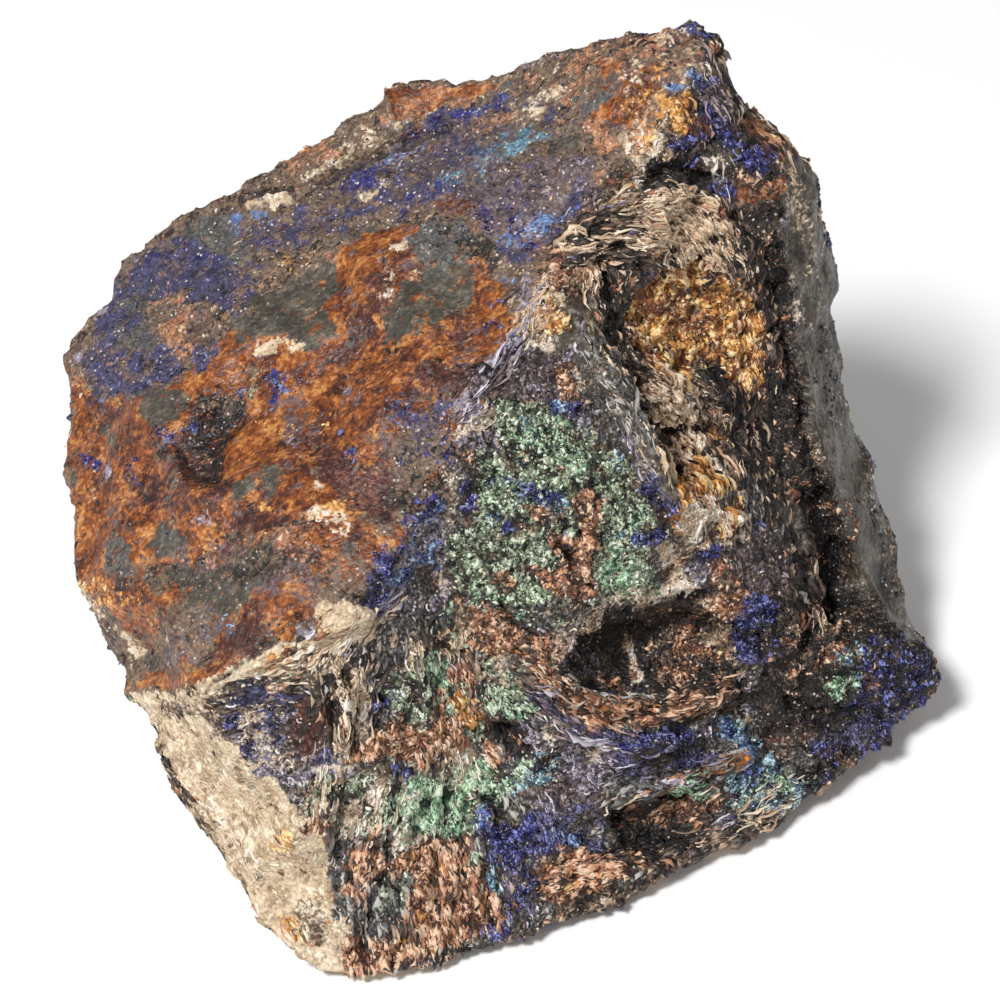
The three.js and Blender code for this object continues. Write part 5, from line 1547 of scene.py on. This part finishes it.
def crust(name, seed_grain, minerals, total, low, high, tilt, sink, longer=0.0, rough=0.5):
    """Copies of a seed grain on the rock, each turned, sized and tinted on its own."""
    grain, faces = seed_grain
    all_grains, all_tints = [], []
    for seed, (mineral, count) in enumerate(counts_for(minerals, total), FIRST_PATCH_SEED):
        spots, lean, sunken = spots_for(mineral, count)
        run, strength = run_at(spots)
        size = low + (high - low) * rng.random((count, 1)) ** 2.2
        size *= 1 + longer * (strength - 0.5)
        size *= 1 - 0.5 * cover(in_view(spots), 60, THIN_LAYERS, 20)[:, None]
        stretch = (0.75 + 0.5 * rng.random((count, 3))) * (1 + strength * (longer, -0.2, 0.0))
        placed = grain[None] * (stretch * size)[:, None]
        placed = np.einsum("nij,nkj->nki", turned(lean, tilt, run, strength), placed)
        all_grains.append(placed + (spots - lean * size * sink)[:, None])
        tone = 0.14 + 0.16 * low_at(spots) + 0.8 * rng.random(count)
        tone += 0.9 * clouds(spots, 1.1, seed, octaves=2)
        # painted shade: grains that sit in hollows are darker
        tone -= 0.7 * sunken
        # a few grains are lifted to the light end of their run as painted glints, and some are
        # pushed to the dark end at random
        luck = rng.random(count)
        tone += 0.9 * (luck > 0.88) - 0.7 * (luck < 0.14)
        tint = tint_of(mineral, np.clip(tone, 0, 1))
        all_tints.append(np.repeat(tint[:, None], len(grain), axis=1))
    set_down(name, np.concatenate(all_grains), faces, np.concatenate(all_tints), rough)


rim_and_front = np.array([[300.0, 200.0], [700.0, 700.0]])
print("covered by thin layers:", cover(rim_and_front, 60, THIN_LAYERS, 20).round(2).tolist())

# %% [markdown]
# ## Strands
#
# Mica and its stained neighbours lie in thin lamellae that follow the folds of the
# stone. Each strand walks over the rock in a few steps: it goes on the way the stone
# runs there, turns with a slight curl, and finds the nearest point below its foot.

# %% Strands that walk along the stone
STATIONS = 7
STRAND_FACES = [[3, 2, 1, 0], [4 * STATIONS - 4 + corner for corner in range(4)]] + [
    [4 * row + side, 4 * row + (side + 1) % 4, 4 * row + 4 + (side + 1) % 4, 4 * row + 4 + side]
    for row in range(STATIONS - 1) for side in range(4)
]
tree = kdtree.KDTree(len(points))
for index, point in enumerate(points.tolist()):
    tree.insert(point, index)
tree.balance()
print("a strand has", len(STRAND_FACES), "faces")


def walked(spots, lean, step, curl):
    """The places and normals of strands that walk over the stone with its run."""
    path, ups = [spots], [lean]
    heading = np.zeros_like(spots)
    for turn in range(STATIONS - 1):
        here, up = path[-1], ups[-1]
        line, _ = flow_at(in_view(here))
        onward = in_space(line)
        onward *= np.where((onward * heading).sum(axis=1) < 0, -1, 1)[:, None]
        onward = onward + np.cross(up, onward) * curl[:, None] * (turn - STATIONS / 2)
        onward -= up * (onward * up).sum(axis=1)[:, None]
        onward /= np.linalg.norm(onward, axis=1)[:, None]
        ahead = here + onward * step[:, None]
        found = [tree.find(place) for place in ahead.tolist()]
        under = np.array([place for place, _, _ in found])
        up = up + normals[[index for _, index, _ in found]]
        up /= np.linalg.norm(up, axis=1)[:, None]
        path.append(ahead - up * ((ahead - under) * up).sum(axis=1)[:, None])
        ups.append(up)
        heading = onward
    return np.stack(path, axis=1), np.stack(ups, axis=1)


# %% Strands from the foot to the crest
FEET = 0.25  # mm below the skin
CREST_WIDTH = 0.4
# painted shade: the two foot corners at each station of a strand are darker in tone
FOOT_SHADE = np.array([-0.6, -0.6, 0, 0])


def strands(name, minerals, total, long, wide, curl, rough):
    """Thin ragged lamellae along the run of the stone, with painted shade at their feet and a
    lighter crest.
    """
    ease = np.sin(np.linspace(0.05, math.pi - 0.05, STATIONS))[:, None]
    all_grains, all_tints = [], []
    for mineral, count in counts_for(minerals, total * 3):
        spots, lean, _ = spots_for(mineral, count)
        pull = flow_at(in_view(spots), reach=16)[1]
        pull = pull * (1 - on_upper_face(spots)) * (1 - 0.55 * low_at(spots))
        kept = rng.random(count) < pull ** 2
        spots, lean, count = spots[kept], lean[kept], int(kept.sum())
        length = long[0] + (long[1] - long[0]) * rng.random(count) ** 2.5
        path, ups = walked(spots, lean, length / (STATIONS - 1), curl * rng.normal(size=count))
        side = np.cross(ups, np.gradient(path, axis=1))
        side /= np.linalg.norm(side, axis=2)[:, :, None]
        ragged = 0.5 + rng.random((2, count, STATIONS, 1))
        half = (wide[0] + (wide[1] - wide[0]) * rng.random((count, 1, 1)) ** 2) * ease / 2
        height = half * (0.8 + 1.6 * rng.random((count, 1, 1))) * ragged[0]
        crest = path + ups * height + side * height * np.clip(rng.normal(size=(count, 1, 1)), -1, 1)
        feet = path - ups * FEET
        out = side * (half * ragged[1])
        rim = out * CREST_WIDTH
        rows = np.stack([feet - out, feet + out, crest + rim, crest - rim], axis=2)
        all_grains.append(rows.reshape(count, -1, 3))
        tone = 0.15 + 0.75 * rng.random((count, 1)) + 0.3 * rng.random((count, STATIONS))
        tone = tone[:, :, None] + FOOT_SHADE
        tint = tint_of(mineral, np.clip(tone, 0, 1).ravel())
        all_tints.append(tint.reshape(count, -1, 3))
    all_grains, all_tints = np.concatenate(all_grains), np.concatenate(all_tints)
    set_down(name, all_grains, STRAND_FACES, all_tints, rough)


print("a strand stands", FEET, "mm deep, its crest", CREST_WIDTH, "as wide as its foot")

# %% [markdown]
# ### The four seed grains
#
# An azurite crystal is a three-sided prism that tapers, a malachite granule a low
# five-sided peak. Ochre and schist share one three-cornered chip, and mica splits in
# a thin sheet that curls. They are modelled about a millimetre across and sized as
# they are set, and each keeps to a few dozen faces.

# %% The azurite prism
def new_grain():
    """Ends the edit of the active piece and takes its points in mm and its faces."""
    bpy.ops.object.mode_set(mode="EDIT")
    bpy.ops.mesh.select_all(action="SELECT")
    bpy.ops.mesh.normals_make_consistent(inside=False)
    bpy.ops.object.mode_set(mode="OBJECT")
    piece = bpy.context.active_object
    grain = points_of(piece)
    faces = [list(face.vertices) for face in piece.data.polygons]
    bpy.data.objects.remove(piece)
    print(len(faces), "faces, spans", np.round(np.ptp(grain, axis=0), 2), "mm")
    return grain, faces


bpy.ops.object.select_all(action="DESELECT")
bpy.ops.mesh.primitive_cone_add(vertices=3, radius1=0.32 * MM, radius2=0.16 * MM, depth=1.1 * MM)
bpy.ops.object.mode_set(mode="EDIT")
bpy.ops.transform.rotate(value=math.pi / 2, orient_axis="Y", center_override=(0, 0, 0))
bpy.ops.transform.resize(value=(1, 1.2, 0.8))
azurite_prism = new_grain()

# %% The malachite granule
bpy.ops.mesh.primitive_cone_add(vertices=5, radius1=0.55 * MM, radius2=0, depth=0.8 * MM)
bpy.ops.object.mode_set(mode="EDIT")
bpy.ops.transform.resize(value=(1.1, 0.8, 0.75))
malachite_granule = new_grain()

# %% The chip of ochre or schist
bpy.ops.mesh.primitive_cone_add(vertices=3, radius1=0.6 * MM, radius2=0.3 * MM, depth=0.5 * MM)
bpy.ops.object.mode_set(mode="EDIT")
bpy.ops.transform.resize(value=(1.25, 0.75, 1))
chip = new_grain()

# %% The bent ribbon of mica, standing on its edge
bpy.ops.mesh.primitive_grid_add(x_subdivisions=3, y_subdivisions=1, size=1 * MM)
ribbon_piece = bpy.context.active_object
ribbon_piece.rotation_euler = (math.pi / 2, 0, 0)
ribbon_piece.scale = (1, 0.28, 1)
bpy.ops.object.transform_apply(location=False, rotation=True, scale=True)
curl = {"deform_method": "BEND", "angle": math.radians(110), "deform_axis": "Z"}
apply_modifier(ribbon_piece, "SIMPLE_DEFORM", **curl)
apply_modifier(ribbon_piece, "SOLIDIFY", thickness=0.16 * MM, offset=0)
mica_ribbon = new_grain()

# %% Set the grains
crust(
    "azurite_crystals", azurite_prism, {"azurite": 1.6, "sky": 1.2, "violet": 0.8},
    total=12000, low=0.35, high=0.95, tilt=0.7, sink=0.12, rough=0.3,
)
crust(
    "malachite_grains", malachite_granule, {"green": 1, "mint": 1, "teal": 1},
    total=11000, low=0.4, high=1.0, tilt=0.5, sink=0.12, longer=0.3, rough=0.5,
)
crust(
    "ochre_chips", chip,
    {"rust": 1, "ochre": 1, "red": 0.15, "flame": 0.05, "amber": 0.03},
    total=12000, low=0.4, high=1.0, tilt=0.5, sink=0.12, longer=0.3, rough=0.6,
)
crust(
    "rock_crumbs", chip,
    {"brown": 1, "plum": 1, "slate": 1, "dark": 1, "olive": 0.1, "schist": 0.15},
    total=12000, low=0.4, high=1.05, tilt=0.4, sink=0.12, longer=0.5, rough=0.55,
)
crust(
    "mica_ribbons", mica_ribbon, {"mica": 1.6, "lilac": 1.4, "cream": 1.6, "brown": 0.1},
    total=1500, low=0.5, high=1.1, tilt=0.5, sink=0.04, longer=0.2, rough=0.35,
)

# %% Set the strands
strands(
    "mica_strands",
    {"mica": 2, "lilac": 1.5, "cream": 1.6, "brown": 0.4, "rust": 0.6, "plum": 0.6, "slate": 0.6,
     "green": 0.3, "violet": 0.4},
    total=3900, long=(0.7, 3.8), wide=(0.12, 0.42), curl=0.15, rough=0.45,
)

# %% [markdown]
# ## Triangles
#
# The triangles of every piece that shows, the floor aside, are counted and printed.
# The dressed specimen has to stay within a hair of the block's box.

# %% Count the triangles
bpy.context.view_layer.update()
total = 0
for piece in bpy.data.objects:
    if piece.type == "MESH" and piece.visible_get() and piece is not floor:
        total += triangles_of(piece)
        print(f"{piece.name:20} {triangles_of(piece):8} triangles")
print("in all", total)
